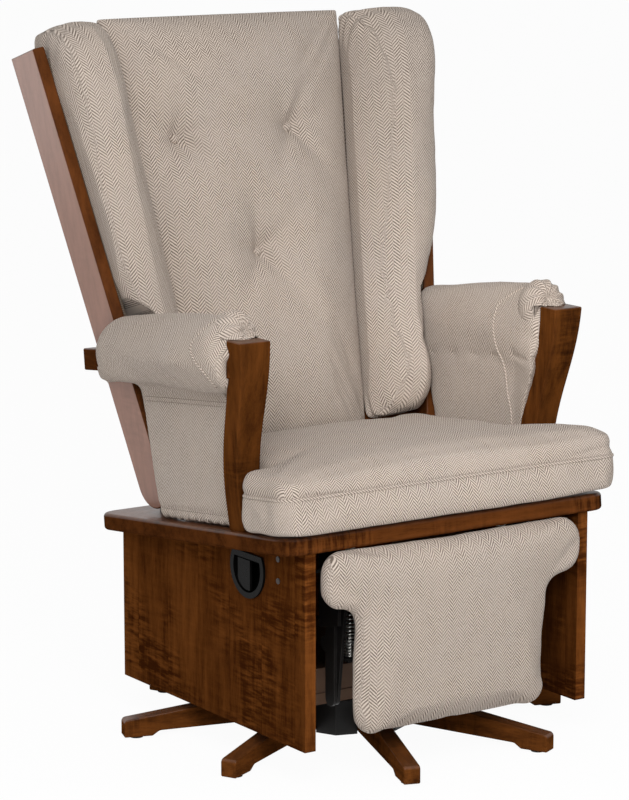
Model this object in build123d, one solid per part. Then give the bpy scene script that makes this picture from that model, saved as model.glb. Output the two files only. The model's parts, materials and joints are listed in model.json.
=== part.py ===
from build123d import *
import math
import os

# Swivel glider with a reclining back and a flip out footrest.
# Lengths are millimetres. The front of the chair faces -Y, +Z is up and +X is the right hand
# side seen from the front. Everything is drawn about the swivel axis and shifted at the end so
# that the origin is below the middle of the whole chair, on the floor.

# Fits
FACE_GAP = 0.3
RUNNING_GAP = 0.05
BORE_GAP = 0.1

# Star base
LEG_COUNT = 8
LEG_FIRST_ANGLE = 161.63
LEG_TIP_RADIUS = 370.0
LEG_INNER_RADIUS = 64.0
LEG_WIDTH = 27.0
LEG_TIP_HEIGHT = 28.0
LEG_ROOT_HEIGHT = 45.0
LEG_FOOT_LENGTH = 46.0
LEG_FOOT_DROP = 8.0
LEG_FOOT_RAMP = 12.0
LEG_EDGE_RADIUS = 2.5
LEG_TIP_ROUND = 7.0
GLIDE_DISC_RADIUS = 11.0
GLIDE_DISC_THICKNESS = 2.5
GLIDE_DISC_INSET = 22.0

# Hub and swivel
HUB_RADIUS = 130.0
HUB_BOTTOM_Z = 12.0
HUB_WALL = 5.0
HUB_TOP_THICKNESS = 6.0
LEG_ROOT_Z = 17.0
HUB_BOLT_CIRCLE = 98.0
HUB_BOLT_RADIUS = 4.0
HUB_BOLT_DEPTH = 30.0
HUB_BOLT_HEAD_RADIUS = 8.0
HUB_BOLT_HEAD_HEIGHT = 5.0
SWIVEL_DISC_RADIUS = 76.0
SWIVEL_DISC_THICKNESS = 6.0
SWIVEL_PLATE_HALF = 78.0
SWIVEL_PLATE_THICKNESS = 8.0
SPINDLE_RADIUS = 12.0
SPINDLE_RISE = 30.0
SPINDLE_NUT_RADIUS = 19.0
SPINDLE_NUT_HEIGHT = 12.0

# Glider frame on the swivel
BOARD_THICKNESS = 18.0
BOARD_HALF_DEPTH = 140.0
BOARD_HOLE_RADIUS = 26.0
UPRIGHT_OUTER_X = 206.0
UPRIGHT_THICKNESS = 20.0
UPRIGHT_TOP_HALF_DEPTH = 128.0
UPRIGHT_RISE = 204.0
CROSS_RAIL_THICKNESS = 20.0
CROSS_RAIL_HEIGHT = 40.0
LINK_LENGTH = 160.0
LINK_PIVOT_Y = 110.0
LINK_TOP_DROP = 18.0
LINK_THICKNESS = 5.0
LINK_HALF_WIDTH = 14.0
LINK_STANDOFF = 6.5
PIN_RADIUS = 6.0
PIN_SHOULDER_RADIUS = 9.0
PIN_HEAD_THICKNESS = 3.0

# Box: side panels, rear panel, glide rails
PANEL_OUTER_X = 270.0
PANEL_THICKNESS = 20.0
PANEL_FRONT_Y = -286.4
PANEL_REAR_Y = 248.3
PANEL_BOTTOM_Z = 61.0
PANEL_EDGE_RADIUS = 1.5
REAR_PANEL_THICKNESS = 18.0
GLIDE_RAIL_INNER_X = 222.0
GLIDE_RAIL_HEIGHT = 40.0
GLIDE_RAIL_HALF_LENGTH = 150.0
SCREW_HEAD_RADIUS = 4.5
SCREW_HEAD_HEIGHT = 1.5
SCREW_SHANK_RADIUS = 2.5
SCREW_Y = -215.0
SCREW_HEIGHTS = (314.0, 348.0)

# Deck
DECK_HALF_WIDTH = 307.0
DECK_FRONT_Y = -294.0
DECK_REAR_Y = 271.0
DECK_FRONT_TOP_Z = 397.4
DECK_FALL_ANGLE = 6.26
DECK_THICKNESS = 27.6
DECK_CORNER_RADIUS = 34.0
DECK_EDGE_RADIUS = 6.0

# Arms
ARM_POST_EDGE_RADIUS = 2.5
ARM_POST_TOP_Z = 680.0
ARM_POST_TOP_OUTER_X = 325.0
ARM_POST_TOP_WIDTH = 55.0
ARM_POST_FOOT_OUTER_X = 297.0
ARM_POST_FOOT_WIDTH = 41.0
ARM_POST_FOOT_FRONT_Y = -160.0
ARM_POST_DEPTH = 40.0
ARM_POST_TOP_REACH = 36.0
# Share of the post's height, and how far its front stands forward as a share of the top's reach
ARM_POST_CURVE_SHARES = ((-0.08, 0.0), (0.15, -0.14), (0.36, -0.07), (0.60, 0.40), (0.83, 0.88), (1.0, 1.0))
ARM_POST_REAR_SHARES = (0.0, 0.15, 0.3, 0.45, 0.6, 0.75, 0.9, 0.99)
ARM_RAIL_THICKNESS = 22.0
ARM_RAIL_HEIGHT = 35.0
ARM_RAIL_FRONT_X = 312.0
ARM_RAIL_REAR_X = 323.5
ARM_RAIL_FRONT_Y = -160.0
ARM_RAIL_REAR_Y = 257.0
ARM_RAIL_REAR_Z = 593.5
ARM_PAD_FRONT_Y = -172.0
ARM_PAD_REAR_Y = 226.0
ARM_PAD_FRONT_X = 262.0
ARM_PAD_WIDTH = 84.0
ARM_PAD_HEIGHT = 112.0
ARM_PAD_FRONT_TOP_Z = 714.0
ARM_PAD_FALL = 0.115
ARM_PAD_CROWN_RADIUS = 38.0
ARM_PAD_HEM_RADIUS = 8.0
# Share of the pad's length, and how far its section swells there
ARM_PAD_FORM = (
    (0.0, -14.0), (0.03, -5.0), (0.08, -1.0), (0.16, 0.0), (0.3, 0.5),
    (0.5, 1.0), (0.7, 0.5), (0.86, 0.0), (0.95, -2.0), (1.0, -8.0),
)
ARM_PANEL_INNER_X = 264.0
ARM_PANEL_THICKNESS = 30.0
ARM_PANEL_GAP = 2.0
ARM_PANEL_FRONT_DROP = 4.0
ARM_PANEL_EDGE_RADIUS = 8.0

# Seat cushion
SEAT_EAR_HALF_WIDTH = 318.0
SEAT_BODY_HALF_WIDTH = 254.0
SEAT_FRONT_Y = -328.0
SEAT_EAR_REAR_Y = -168.0
SEAT_REAR_Y = 120.0
SEAT_WELT_HEIGHT = 60.0
SEAT_CROWN_HEIGHT = 121.0
SEAT_CROWN_SETBACK = 87.0
SEAT_CORNER_RADIUS = 36.0
SEAT_INNER_RADIUS = 12.0
SEAT_SIDE_DRAW = 5.0
SEAT_HEM_INSET = 10.0
SEAT_SHOULDER_INSET = 46.0
SEAT_REAR_INSET_SHARE = 0.3
SEAT_SHOULDER_STEPS = 4
SEAT_CROWN_RADIUS = 2400.0

# Back
BACK_PIVOT_Y = 154.7
BACK_PIVOT_Z = 395.0
BACK_LEAN = 15.91
BACK_SPLAY = 9.2
BACK_POST_FOOT_X = 272.2
BACK_POST_THICKNESS = 22.0
BACK_POST_DEPTH = 76.0
BACK_POST_LENGTH = 720.0
BACK_POST_EDGE_RADIUS = 3.0
BACK_RAIL_HEIGHT = 46.0
BACK_RAIL_THICKNESS = 20.0
BACK_LOWER_RAIL_V = 50.0
BACK_UPPER_RAIL_DROP = 52.0
BACK_UPPER_RAIL_V = BACK_POST_LENGTH - BACK_UPPER_RAIL_DROP
BACK_PANEL_THICKNESS = 18.0
BACK_PANEL_EDGE_RADIUS = 5.0
CUSHION_FOOT_V = 64.0
CUSHION_HEAD_V = 762.0
CUSHION_CROWN = 64.0
CUSHION_SEAM_DEPTH = 13.0
CUSHION_SEAM_FOOT_X = 154.0
CUSHION_SEAM_SPREAD = 0.106
# Share of the centre cushion's height, share of its crown, and how far its sides draw in
CUSHION_FORM = (
    (0.0, 0.8, 4.0), (0.04, 1.2, 0.0), (0.3, 1.05, 0.0), (0.65, 1.0, 0.0),
    (0.9, 0.8, 0.0), (0.975, 0.4, 3.0), (1.0, 0.1, 14.0),
)
BOLSTER_CREST = 124.0
BOLSTER_HEAD_V = 751.0
BOLSTER_WAIST_X = 257.0
BOLSTER_POST_GAP = 2.0
BOLSTER_ROUND = 38.0
BOLSTER_HEM = 5.0
# Share of the bolster's height, share of its crest, how far its sides draw in, and how far its
# outer side stands in from the waist line or, higher up, from the post
BOLSTER_WAIST_FORM = ((0.0, 0.55, 6.0, 8.0), (0.05, 0.8, 1.0, 3.0), (0.24, 0.85, 0.0, 0.0))
BOLSTER_HEAD_FORM = (
    (0.40, 0.88, 0.0, 12.0), (0.6, 0.93, 0.0, 4.0), (0.8, 1.0, 0.0, 2.0), (0.94, 0.9, 1.0, 2.0),
    (1.0, 0.5, 8.0, 8.0),
)
BUTTON_RADIUS = 11.0
BUTTON_HEIGHT = 8.0
BUTTON_PULL_RADIUS = 52.0
BUTTON_UPPER_X = 102.0
BUTTON_UPPER_V = 583.0
BUTTON_LOWER_V = 378.0
BACK_BOLT_RADIUS = 6.0
BACK_BOLT_HEAD_RADIUS = 11.0
BACK_BOLT_HEAD_HEIGHT = 6.0
BACK_BOLT_BLIND = 6.0
BRACKET_OUTER_X = 241.0
BRACKET_THICKNESS = 5.0
BRACKET_FLANGE = 34.0
BRACKET_HALF_DEPTH = 24.0
BRACKET_HEAD_RADIUS = 20.0

# Footrest
FOOTREST_BAR_HALF_WIDTH = 245.5
FOOTREST_STEM_HALF_WIDTH = 183.0
FOOTREST_TOP_Z = 367.0
FOOTREST_SHELF_Z = 276.0
FOOTREST_BOTTOM_Z = 75.0
FOOTREST_FRONT_Y = -325.0
FOOTREST_PAD_THICKNESS = 43.0
FOOTREST_CORNER_RADIUS = 36.0
FOOTREST_INNER_RADIUS = 25.0
FOOTREST_SIDE_DRAW = 3.0
FOOTREST_BOARD_THICKNESS = 12.0
FOOTREST_BOARD_INSET = 24.0
FOOTREST_BRACKET_FLANGE = 30.0
# Share of the pad's thickness from its back, and how far its outline draws in there
FOOTREST_PAD_FORM = ((0.0, 9.0), (0.2, 1.5), (0.45, 0.0), (0.72, 4.0), (0.91, 12.0), (1.0, 24.0))
MECH_PLATE_OUTER_X = 183.0
MECH_PLATE_THICKNESS = 5.0
MECH_PLATE_FRONT_Y = -248.0
MECH_PLATE_REAR_Y = -196.0
MECH_PLATE_BOTTOM_Z = 226.0
MECH_FLANGE_WIDTH = 52.0
MECH_FLANGE_THICKNESS = 4.0
ARM_PIVOT_Y = -215.0
ARM_PIVOT_Z = 300.0
FOOT_ARM_LENGTH = 185.0
FOOT_ARM_THICKNESS = 5.0
FOOT_ARM_HALF_WIDTH = 12.0
FOOT_LINK_RISE = 198.0
FOOT_LINK_REACH = 25.0
FOOT_LINK_HALF_WIDTH = 11.0
FOOT_LAYER_GAP = 2.0
RIVET_RADIUS = 4.0
RIVET_HEAD_RADIUS = 7.0
RIVET_HEAD_THICKNESS = 1.5
CROSS_TUBE_RADIUS = 8.0
CROSS_TUBE_WALL = 1.5
CROSS_TUBE_DROP = 100.0
CROSS_TUBE_SETBACK = 13.0

# Footrest springs
SPRING_X = 145.0
SPRING_WIRE_RADIUS = 1.25
SPRING_COIL_RADIUS = 8.5
SPRING_TURNS = 26
SPRING_SEAT_DROP = 122.0
SPRING_REACH = 10.0
SPRING_PITCH_GROWTH = 0.4
SPRING_TAIL = 8.0
SPRING_SEAT_MARGIN = 1.0
SPRING_SEAT_THICKNESS = 4.0
SPRING_LUG_THICKNESS = 5.0

# Release handle in the left panel
HANDLE_Y = -132.0
HANDLE_Z = 318.0
HANDLE_BEZEL_RADIUS = 47.0
HANDLE_BODY_RADIUS = 42.0
HANDLE_WALL = 4.0
HANDLE_FLAT_RISE = 24.0
HANDLE_BEZEL_THICKNESS = 4.0
HANDLE_DEPTH = 26.0
PADDLE_THICKNESS = 4.0
PADDLE_GAP = 2.8
PADDLE_REAR_TRIM = 2.0
PADDLE_REACH = 6.0
PADDLE_HINGE_SETBACK = 30.0
PADDLE_BARREL_RADIUS = 3.5
PADDLE_TRUNNION_RADIUS = 2.0
PADDLE_TRUNNION_LENGTH = 2.5
CABLE_RADIUS = 2.5
# How far the cable has run inwards, forwards and upwards at each bend
CABLE_FIRST_BEND = (0.0, 30.0, 1.0)
CABLE_SECOND_BEND = (16.0, 54.0, 5.0)
CABLE_LAST_BEND_SHORT = 18.0
CABLE_LAST_FORWARD = 62.0
CABLE_LAST_RISE = 8.0
CABLE_BEND_SHARE = 0.45

# Values worked out from the sizes above
LEG_TOP_Z = LEG_ROOT_Z + LEG_ROOT_HEIGHT
HUB_TOP_Z = LEG_TOP_Z + HUB_TOP_THICKNESS
SWIVEL_SPLIT_Z = HUB_TOP_Z + SWIVEL_DISC_THICKNESS
SWIVEL_PLATE_Z = SWIVEL_SPLIT_Z + FACE_GAP
BOARD_Z = SWIVEL_PLATE_Z + SWIVEL_PLATE_THICKNESS
BOARD_TOP_Z = BOARD_Z + BOARD_THICKNESS
UPRIGHT_TOP_Z = BOARD_TOP_Z + UPRIGHT_RISE
UPRIGHT_INNER_X = UPRIGHT_OUTER_X - UPRIGHT_THICKNESS
LINK_TOP_Z = UPRIGHT_TOP_Z - LINK_TOP_DROP
LINK_BOTTOM_Z = LINK_TOP_Z - LINK_LENGTH
LINK_INNER_X = UPRIGHT_OUTER_X + LINK_STANDOFF
LINK_OUTER_X = LINK_INNER_X + LINK_THICKNESS
PANEL_INNER_X = PANEL_OUTER_X - PANEL_THICKNESS
DECK_FALL = math.tan(math.radians(DECK_FALL_ANGLE))
DECK_RISE = DECK_THICKNESS / math.cos(math.radians(DECK_FALL_ANGLE))
BACK_HALF_DEPTH = BACK_POST_DEPTH / 2
BACK_SPREAD = math.tan(math.radians(BACK_SPLAY))
BACK_INNER_FOOT_X = BACK_POST_FOOT_X - BACK_POST_THICKNESS / math.cos(math.radians(BACK_SPLAY))
CUSHION_BASE = BACK_HALF_DEPTH - BACK_PANEL_THICKNESS - FACE_GAP
FOOTREST_BACK_Y = FOOTREST_FRONT_Y + FOOTREST_PAD_THICKNESS
FOOT_ARM_OUTER_X = MECH_PLATE_OUTER_X - MECH_PLATE_THICKNESS - FOOT_LAYER_GAP
FOOT_LINK_OUTER_X = FOOT_ARM_OUTER_X - FOOT_ARM_THICKNESS - FOOT_LAYER_GAP
FOOT_BRACKET_OUTER_X = FOOT_LINK_OUTER_X - FOOT_ARM_THICKNESS - FOOT_LAYER_GAP
KNEE_Z = ARM_PIVOT_Z - FOOT_ARM_LENGTH
PAD_PIVOT_Y = ARM_PIVOT_Y - FOOT_LINK_REACH
PAD_PIVOT_Z = KNEE_Z + FOOT_LINK_RISE
SPRING_Y = ARM_PIVOT_Y - SPRING_REACH
SPRING_SEAT_Z = ARM_PIVOT_Z - SPRING_SEAT_DROP

back_frame = Pos(0, BACK_PIVOT_Y, BACK_PIVOT_Z) * Rot(-BACK_LEAN, 0, 0)
deck_frame = Pos(0, DECK_FRONT_Y, DECK_FRONT_TOP_Z) * Rot(-DECK_FALL_ANGLE, 0, 0)
MIN_ALIGN = (Align.MIN, Align.MIN, Align.MIN)
parts = {}


def deck_top(y):
    """Height of the deck's upper face."""
    return DECK_FRONT_TOP_Z - DECK_FALL * (y - DECK_FRONT_Y)


def deck_underside(y):
    """Height of the deck's lower face."""
    return deck_top(y) - DECK_RISE


def back_front_y(z):
    """Y of the back posts' front edge at height z."""
    lean = math.radians(BACK_LEAN)
    edge_y = BACK_PIVOT_Y - BACK_HALF_DEPTH / math.cos(lean)
    return edge_y + (z - BACK_PIVOT_Z) * math.tan(lean)


def block(x0, x1, y0, y1, z0, z1):
    """Box between two corners."""
    return Pos(x0, y0, z0) * Box(x1 - x0, y1 - y0, z1 - z0, align=MIN_ALIGN)


def side_plate(points, x0, x1):
    """Flat plate drawn by (y, z) points and running from x0 to x1."""
    outline = make_face(Polyline(*points, close=True))
    return Pos(x0, 0, 0) * extrude(Plane.YZ * outline, x1 - x0)


def cross_bar(radius, x0, x1, y, z):
    """Round bar along X."""
    align = (Align.CENTER, Align.CENTER, Align.MIN)
    return Pos(x0, y, z) * Rot(0, 90, 0) * Cylinder(radius, x1 - x0, align=align)


def post_bar(radius, x, y, z0, z1):
    """Round bar along Z."""
    return Pos(x, y, z0) * Cylinder(radius, z1 - z0, align=(Align.CENTER, Align.CENTER, Align.MIN))


def link_plate(start, end, half_width, x0, x1):
    """Flat link with round ends between two (y, z) points."""
    run_y = end[0] - start[0]
    run_z = end[1] - start[1]
    length = math.hypot(run_y, run_z)
    side_y = -run_z / length * half_width
    side_z = run_y / length * half_width
    corners = [
        (start[0] + side_y, start[1] + side_z),
        (end[0] + side_y, end[1] + side_z),
        (end[0] - side_y, end[1] - side_z),
        (start[0] - side_y, start[1] - side_z),
    ]
    plate = side_plate(corners, x0, x1)
    for eye in (start, end):
        plate += cross_bar(half_width, x0, x1, eye[0], eye[1])
    return plate


def mirrored(shape):
    """The same piece on the other side."""
    return mirror(shape, about=Plane.YZ)


def pair(name, right_shape):
    """Left and right piece as two nodes."""
    parts["right_" + name] = right_shape
    parts["left_" + name] = mirrored(right_shape)


def group(name, shapes):
    """Like pieces as separate solids of one node."""
    parts[name] = list(shapes)


def tee_outline(bar_half, stem_half, bar_far, bar_near, stem_end, corner, inner, draw):
    """T shaped outline whose long sides are drawn in a little between the corners."""
    step = 1 if stem_end > bar_far else -1
    points = [
        (0, bar_far + step * draw),
        (bar_half, bar_far),
        (bar_half, bar_near),
        (stem_half, bar_near),
        (stem_half - draw, (bar_near + stem_end) / 2),
        (stem_half, stem_end),
        (0, stem_end - step * draw),
        (-stem_half, stem_end),
        (-stem_half + draw, (bar_near + stem_end) / 2),
        (-stem_half, bar_near),
        (-bar_half, bar_near),
        (-bar_half, bar_far),
    ]
    long_sweep = stem_half * 8
    tall_sweep = abs(stem_end - bar_near) * 4
    radii = [long_sweep, corner, corner, inner, tall_sweep, corner]
    radii += [long_sweep, corner, tall_sweep, inner, corner, corner]
    return make_face(FilletPolyline(*points, radius=radii, close=True))


def helix_path(point_at, steps_per_turn, turns, lead_in, lead_out):
    """Tangent arcs through a wound line, two to each step, with straight ends."""
    edges = [Line(point_at(0)[0] - lead_in * point_at(0)[1], point_at(0)[0])]
    for step in range(turns * steps_per_turn):
        start, start_way = point_at(step / steps_per_turn)
        end, end_way = point_at((step + 1) / steps_per_turn)
        chord = end - start
        spread = 2 * (1 - start_way.dot(end_way))
        along = chord.dot(start_way + end_way)
        reach = (math.sqrt(along * along + spread * chord.dot(chord)) - along) / spread
        middle_way = (end - end_way * reach) - (start + start_way * reach)
        middle = start + start_way * reach + middle_way * 0.5
        edges.append(TangentArc(start, middle, tangent=start_way))
        edges.append(TangentArc(middle, end, tangent=middle_way.normalized()))
    last, last_way = point_at(turns)
    edges.append(Line(last, last + lead_out * last_way))
    return Wire(edges)


def star_base():
    """Legs, hub, bolts, foot glides and the fixed half of the swivel."""
    tip_top = GLIDE_DISC_THICKNESS + LEG_TIP_HEIGHT
    foot_start = LEG_TIP_RADIUS - LEG_FOOT_LENGTH
    outline = [
        (LEG_INNER_RADIUS, LEG_ROOT_Z),
        (foot_start - LEG_FOOT_RAMP, GLIDE_DISC_THICKNESS + LEG_FOOT_DROP),
        (foot_start, GLIDE_DISC_THICKNESS),
        (LEG_TIP_RADIUS, GLIDE_DISC_THICKNESS),
        (LEG_TIP_RADIUS, tip_top),
        (HUB_RADIUS, LEG_TOP_Z),
        (LEG_INNER_RADIUS, LEG_TOP_Z),
    ]
    radii = [0, LEG_FOOT_RAMP, LEG_FOOT_RAMP / 2, LEG_EDGE_RADIUS, LEG_TIP_ROUND, 0, 0]
    profile = make_face(FilletPolyline(*outline, radius=radii, close=True))
    leg = extrude(Plane.XZ * profile, LEG_WIDTH / 2, both=True)
    leg = fillet(leg.faces().filter_by(Axis.Y).edges(), LEG_EDGE_RADIUS)
    bore = HUB_BOLT_RADIUS + BORE_GAP
    leg -= post_bar(bore, HUB_BOLT_CIRCLE, 0, LEG_TOP_Z - HUB_BOLT_DEPTH, LEG_TOP_Z)
    bolt = post_bar(HUB_BOLT_RADIUS, HUB_BOLT_CIRCLE, 0, LEG_TOP_Z - HUB_BOLT_DEPTH, HUB_TOP_Z)
    head = extrude(RegularPolygon(HUB_BOLT_HEAD_RADIUS, 6), HUB_BOLT_HEAD_HEIGHT)
    bolt += Pos(HUB_BOLT_CIRCLE, 0, HUB_TOP_Z) * head
    glide_at = LEG_TIP_RADIUS - GLIDE_DISC_INSET
    glide = post_bar(GLIDE_DISC_RADIUS, glide_at, 0, 0, GLIDE_DISC_THICKNESS)

    half_step = 180 / LEG_COUNT
    wall_out = Rot(0, 0, half_step) * RegularPolygon(HUB_RADIUS, LEG_COUNT)
    wall_in = Rot(0, 0, half_step) * RegularPolygon(HUB_RADIUS - HUB_WALL, LEG_COUNT)
    hub = Pos(0, 0, HUB_BOTTOM_Z) * extrude(wall_out, HUB_TOP_Z - HUB_BOTTOM_Z)
    hub -= Pos(0, 0, HUB_BOTTOM_Z) * extrude(wall_in, LEG_TOP_Z - HUB_BOTTOM_Z)
    slot_half = LEG_WIDTH / 2 + FACE_GAP
    slot = block(LEG_INNER_RADIUS, HUB_RADIUS, -slot_half, slot_half, HUB_BOTTOM_Z, LEG_TOP_Z)
    slot += post_bar(bore, HUB_BOLT_CIRCLE, 0, LEG_TOP_Z, HUB_TOP_Z)

    bolts = []
    glides = []
    for number in range(LEG_COUNT):
        turn = Rot(0, 0, number * 360 / LEG_COUNT)
        hub -= turn * slot
        to_place = Rot(0, 0, LEG_FIRST_ANGLE) * turn
        parts["leg_" + str(number + 1)] = to_place * leg
        bolts.append(to_place * bolt)
        glides.append(to_place * glide)
    parts["base_hub"] = Rot(0, 0, LEG_FIRST_ANGLE) * hub
    group("foot_glides", glides)

    disc = post_bar(SWIVEL_DISC_RADIUS, 0, 0, HUB_TOP_Z, SWIVEL_SPLIT_Z)
    disc += post_bar(SPINDLE_RADIUS, 0, 0, SWIVEL_SPLIT_Z, SWIVEL_SPLIT_Z + SPINDLE_RISE)
    parts["swivel_lower_plate"] = disc
    nut = extrude(RegularPolygon(SPINDLE_NUT_RADIUS, 6), SPINDLE_NUT_HEIGHT)
    nut -= Cylinder(SPINDLE_RADIUS + BORE_GAP, 4 * SPINDLE_NUT_HEIGHT)
    group("hub_fasteners", bolts + [Pos(0, 0, BOARD_Z + FACE_GAP) * nut])


def glider_frame():
    """Turning half of the swivel with the frame that the links hang from."""
    half = SWIVEL_PLATE_HALF
    plate = block(-half, half, -half, half, SWIVEL_PLATE_Z, BOARD_Z)
    plate = fillet(plate.edges().filter_by(Axis.Z), SWIVEL_PLATE_THICKNESS)
    plate -= Cylinder(SPINDLE_RADIUS + RUNNING_GAP, 4 * BOARD_Z)
    parts["swivel_upper_plate"] = plate

    depth = BOARD_HALF_DEPTH
    board = block(-UPRIGHT_OUTER_X, UPRIGHT_OUTER_X, -depth, depth, BOARD_Z, BOARD_TOP_Z)
    board -= Cylinder(BOARD_HOLE_RADIUS, 4 * BOARD_TOP_Z)
    parts["base_board"] = board

    outline = [
        (-depth, BOARD_TOP_Z),
        (depth, BOARD_TOP_Z),
        (UPRIGHT_TOP_HALF_DEPTH, UPRIGHT_TOP_Z),
        (-UPRIGHT_TOP_HALF_DEPTH, UPRIGHT_TOP_Z),
    ]
    upright = side_plate(outline, UPRIGHT_INNER_X, UPRIGHT_OUTER_X)
    for y in (-LINK_PIVOT_Y, LINK_PIVOT_Y):
        upright -= cross_bar(PIN_RADIUS + BORE_GAP, UPRIGHT_INNER_X, UPRIGHT_OUTER_X, y, LINK_TOP_Z)
    pair("upright", upright)

    slope = (depth - UPRIGHT_TOP_HALF_DEPTH) / UPRIGHT_RISE
    rail_front = -depth + slope * CROSS_RAIL_HEIGHT
    rail = block(
        -UPRIGHT_INNER_X, UPRIGHT_INNER_X,
        rail_front, rail_front + CROSS_RAIL_THICKNESS,
        BOARD_TOP_Z, BOARD_TOP_Z + CROSS_RAIL_HEIGHT,
    )
    group("cross_rails", [rail, mirror(rail, about=Plane.XZ)])


def glide_links():
    """Four hanging links with the pins at both their ends."""
    right_links = {}
    upper_pins = []
    lower_pins = []
    for name, y in (("front", -LINK_PIVOT_Y), ("rear", LINK_PIVOT_Y)):
        ends = ((y, LINK_TOP_Z), (y, LINK_BOTTOM_Z))
        link = link_plate(ends[0], ends[1], LINK_HALF_WIDTH, LINK_INNER_X, LINK_OUTER_X)
        for eye in ends:
            link -= cross_bar(PIN_RADIUS + RUNNING_GAP, LINK_INNER_X, LINK_OUTER_X, eye[0], eye[1])
        right_links[name] = link
        upper = cross_bar(PIN_RADIUS, UPRIGHT_INNER_X, LINK_OUTER_X + FACE_GAP, y, LINK_TOP_Z)
        upper += cross_bar(
            PIN_SHOULDER_RADIUS, UPRIGHT_OUTER_X, LINK_INNER_X - FACE_GAP, y, LINK_TOP_Z)
        upper += cross_bar(
            PIN_SHOULDER_RADIUS, LINK_OUTER_X + FACE_GAP,
            LINK_OUTER_X + FACE_GAP + PIN_HEAD_THICKNESS, y, LINK_TOP_Z)
        lower = cross_bar(PIN_RADIUS, LINK_INNER_X - FACE_GAP, PANEL_INNER_X, y, LINK_BOTTOM_Z)
        lower += cross_bar(
            PIN_SHOULDER_RADIUS, LINK_INNER_X - FACE_GAP - PIN_HEAD_THICKNESS,
            LINK_INNER_X - FACE_GAP, y, LINK_BOTTOM_Z)
        lower += cross_bar(
            PIN_SHOULDER_RADIUS, LINK_OUTER_X + FACE_GAP, GLIDE_RAIL_INNER_X, y, LINK_BOTTOM_Z)
        upper_pins += [upper, mirrored(upper)]
        lower_pins += [lower, mirrored(lower)]
    for name, link in right_links.items():
        group(name + "_glide_links", [link, mirrored(link)])
    group("upper_glide_pins", upper_pins)
    group("lower_glide_pins", lower_pins)


def handle_outline(radius):
    """Round outline with a flat top, at the handle's place on the panel."""
    flat = HANDLE_FLAT_RISE - (HANDLE_BEZEL_RADIUS - radius)
    disc = Circle(radius) - Pos(0, flat + radius) * Rectangle(4 * radius, 2 * radius)
    return Plane.YZ * Pos(HANDLE_Y, HANDLE_Z) * disc


def box_and_deck():
    """Side panels, rear panel, glide rails, screws and deck."""
    outline = [
        (PANEL_FRONT_Y, PANEL_BOTTOM_Z),
        (PANEL_REAR_Y, PANEL_BOTTOM_Z),
        (PANEL_REAR_Y, deck_underside(PANEL_REAR_Y)),
        (PANEL_FRONT_Y, deck_underside(PANEL_FRONT_Y)),
    ]
    panel = side_plate(outline, PANEL_INNER_X, PANEL_OUTER_X)
    rim = panel.faces().sort_by(Axis.X)[-1].edges() + panel.edges().filter_by(Axis.X)
    panel = fillet(rim.filter_by(lambda edge: edge.center().Z < deck_underside(PANEL_REAR_Y)),
                   PANEL_EDGE_RADIUS)
    screws = []
    for z in SCREW_HEIGHTS:
        shank = cross_bar(SCREW_SHANK_RADIUS, PANEL_INNER_X, PANEL_OUTER_X, SCREW_Y, z)
        head = cross_bar(
            SCREW_HEAD_RADIUS, PANEL_OUTER_X, PANEL_OUTER_X + SCREW_HEAD_HEIGHT, SCREW_Y, z)
        screws += [shank + head, mirrored(shank + head)]
        panel -= cross_bar(
            SCREW_SHANK_RADIUS + BORE_GAP, PANEL_INNER_X, PANEL_OUTER_X, SCREW_Y, z)
    group("panel_screws", screws)
    left_panel = mirrored(panel)
    hole = extrude(handle_outline(HANDLE_BODY_RADIUS + FACE_GAP), PANEL_THICKNESS)
    parts["left_side_panel"] = left_panel - Pos(-PANEL_OUTER_X, 0, 0) * hole
    parts["right_side_panel"] = panel

    rear_front_y = PANEL_REAR_Y - REAR_PANEL_THICKNESS
    rear_outline = [
        (rear_front_y, PANEL_BOTTOM_Z),
        (PANEL_REAR_Y, PANEL_BOTTOM_Z),
        (PANEL_REAR_Y, deck_underside(PANEL_REAR_Y)),
        (rear_front_y, deck_underside(rear_front_y)),
    ]
    parts["rear_panel"] = side_plate(rear_outline, -PANEL_INNER_X, PANEL_INNER_X)

    low = LINK_BOTTOM_Z - GLIDE_RAIL_HEIGHT / 2
    rail = block(
        GLIDE_RAIL_INNER_X, PANEL_INNER_X,
        -GLIDE_RAIL_HALF_LENGTH, GLIDE_RAIL_HALF_LENGTH,
        low, low + GLIDE_RAIL_HEIGHT,
    )
    for y in (-LINK_PIVOT_Y, LINK_PIVOT_Y):
        rail -= cross_bar(
            PIN_RADIUS + BORE_GAP, GLIDE_RAIL_INNER_X, PANEL_INNER_X, y, LINK_BOTTOM_Z)
    pair("glide_rail", rail)

    length = (DECK_REAR_Y - DECK_FRONT_Y) / math.cos(math.radians(DECK_FALL_ANGLE))
    top = Pos(0, length / 2) * RectangleRounded(2 * DECK_HALF_WIDTH, length, DECK_CORNER_RADIUS)
    deck = extrude(top, -DECK_THICKNESS)
    rims = deck.faces().filter_by(Axis.Z).edges()
    parts["deck"] = deck_frame * fillet(rims, DECK_EDGE_RADIUS)


def arm_post_section(z, bend):
    """Level section of the right arm post at height z, moved forward by bend."""
    rise = (z - deck_top(ARM_POST_FOOT_FRONT_Y)) / (ARM_POST_TOP_Z - deck_top(ARM_POST_FOOT_FRONT_Y))
    outer = ARM_POST_FOOT_OUTER_X + rise * (ARM_POST_TOP_OUTER_X - ARM_POST_FOOT_OUTER_X)
    flare = max(rise, 0) ** 2
    width = ARM_POST_FOOT_WIDTH + flare * (ARM_POST_TOP_WIDTH - ARM_POST_FOOT_WIDTH)
    front = ARM_POST_FOOT_FRONT_Y - bend
    shape = Pos(outer - width, front) * Rectangle(width, ARM_POST_DEPTH, align=(Align.MIN, Align.MIN))
    return Pos(0, 0, z) * shape


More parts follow.
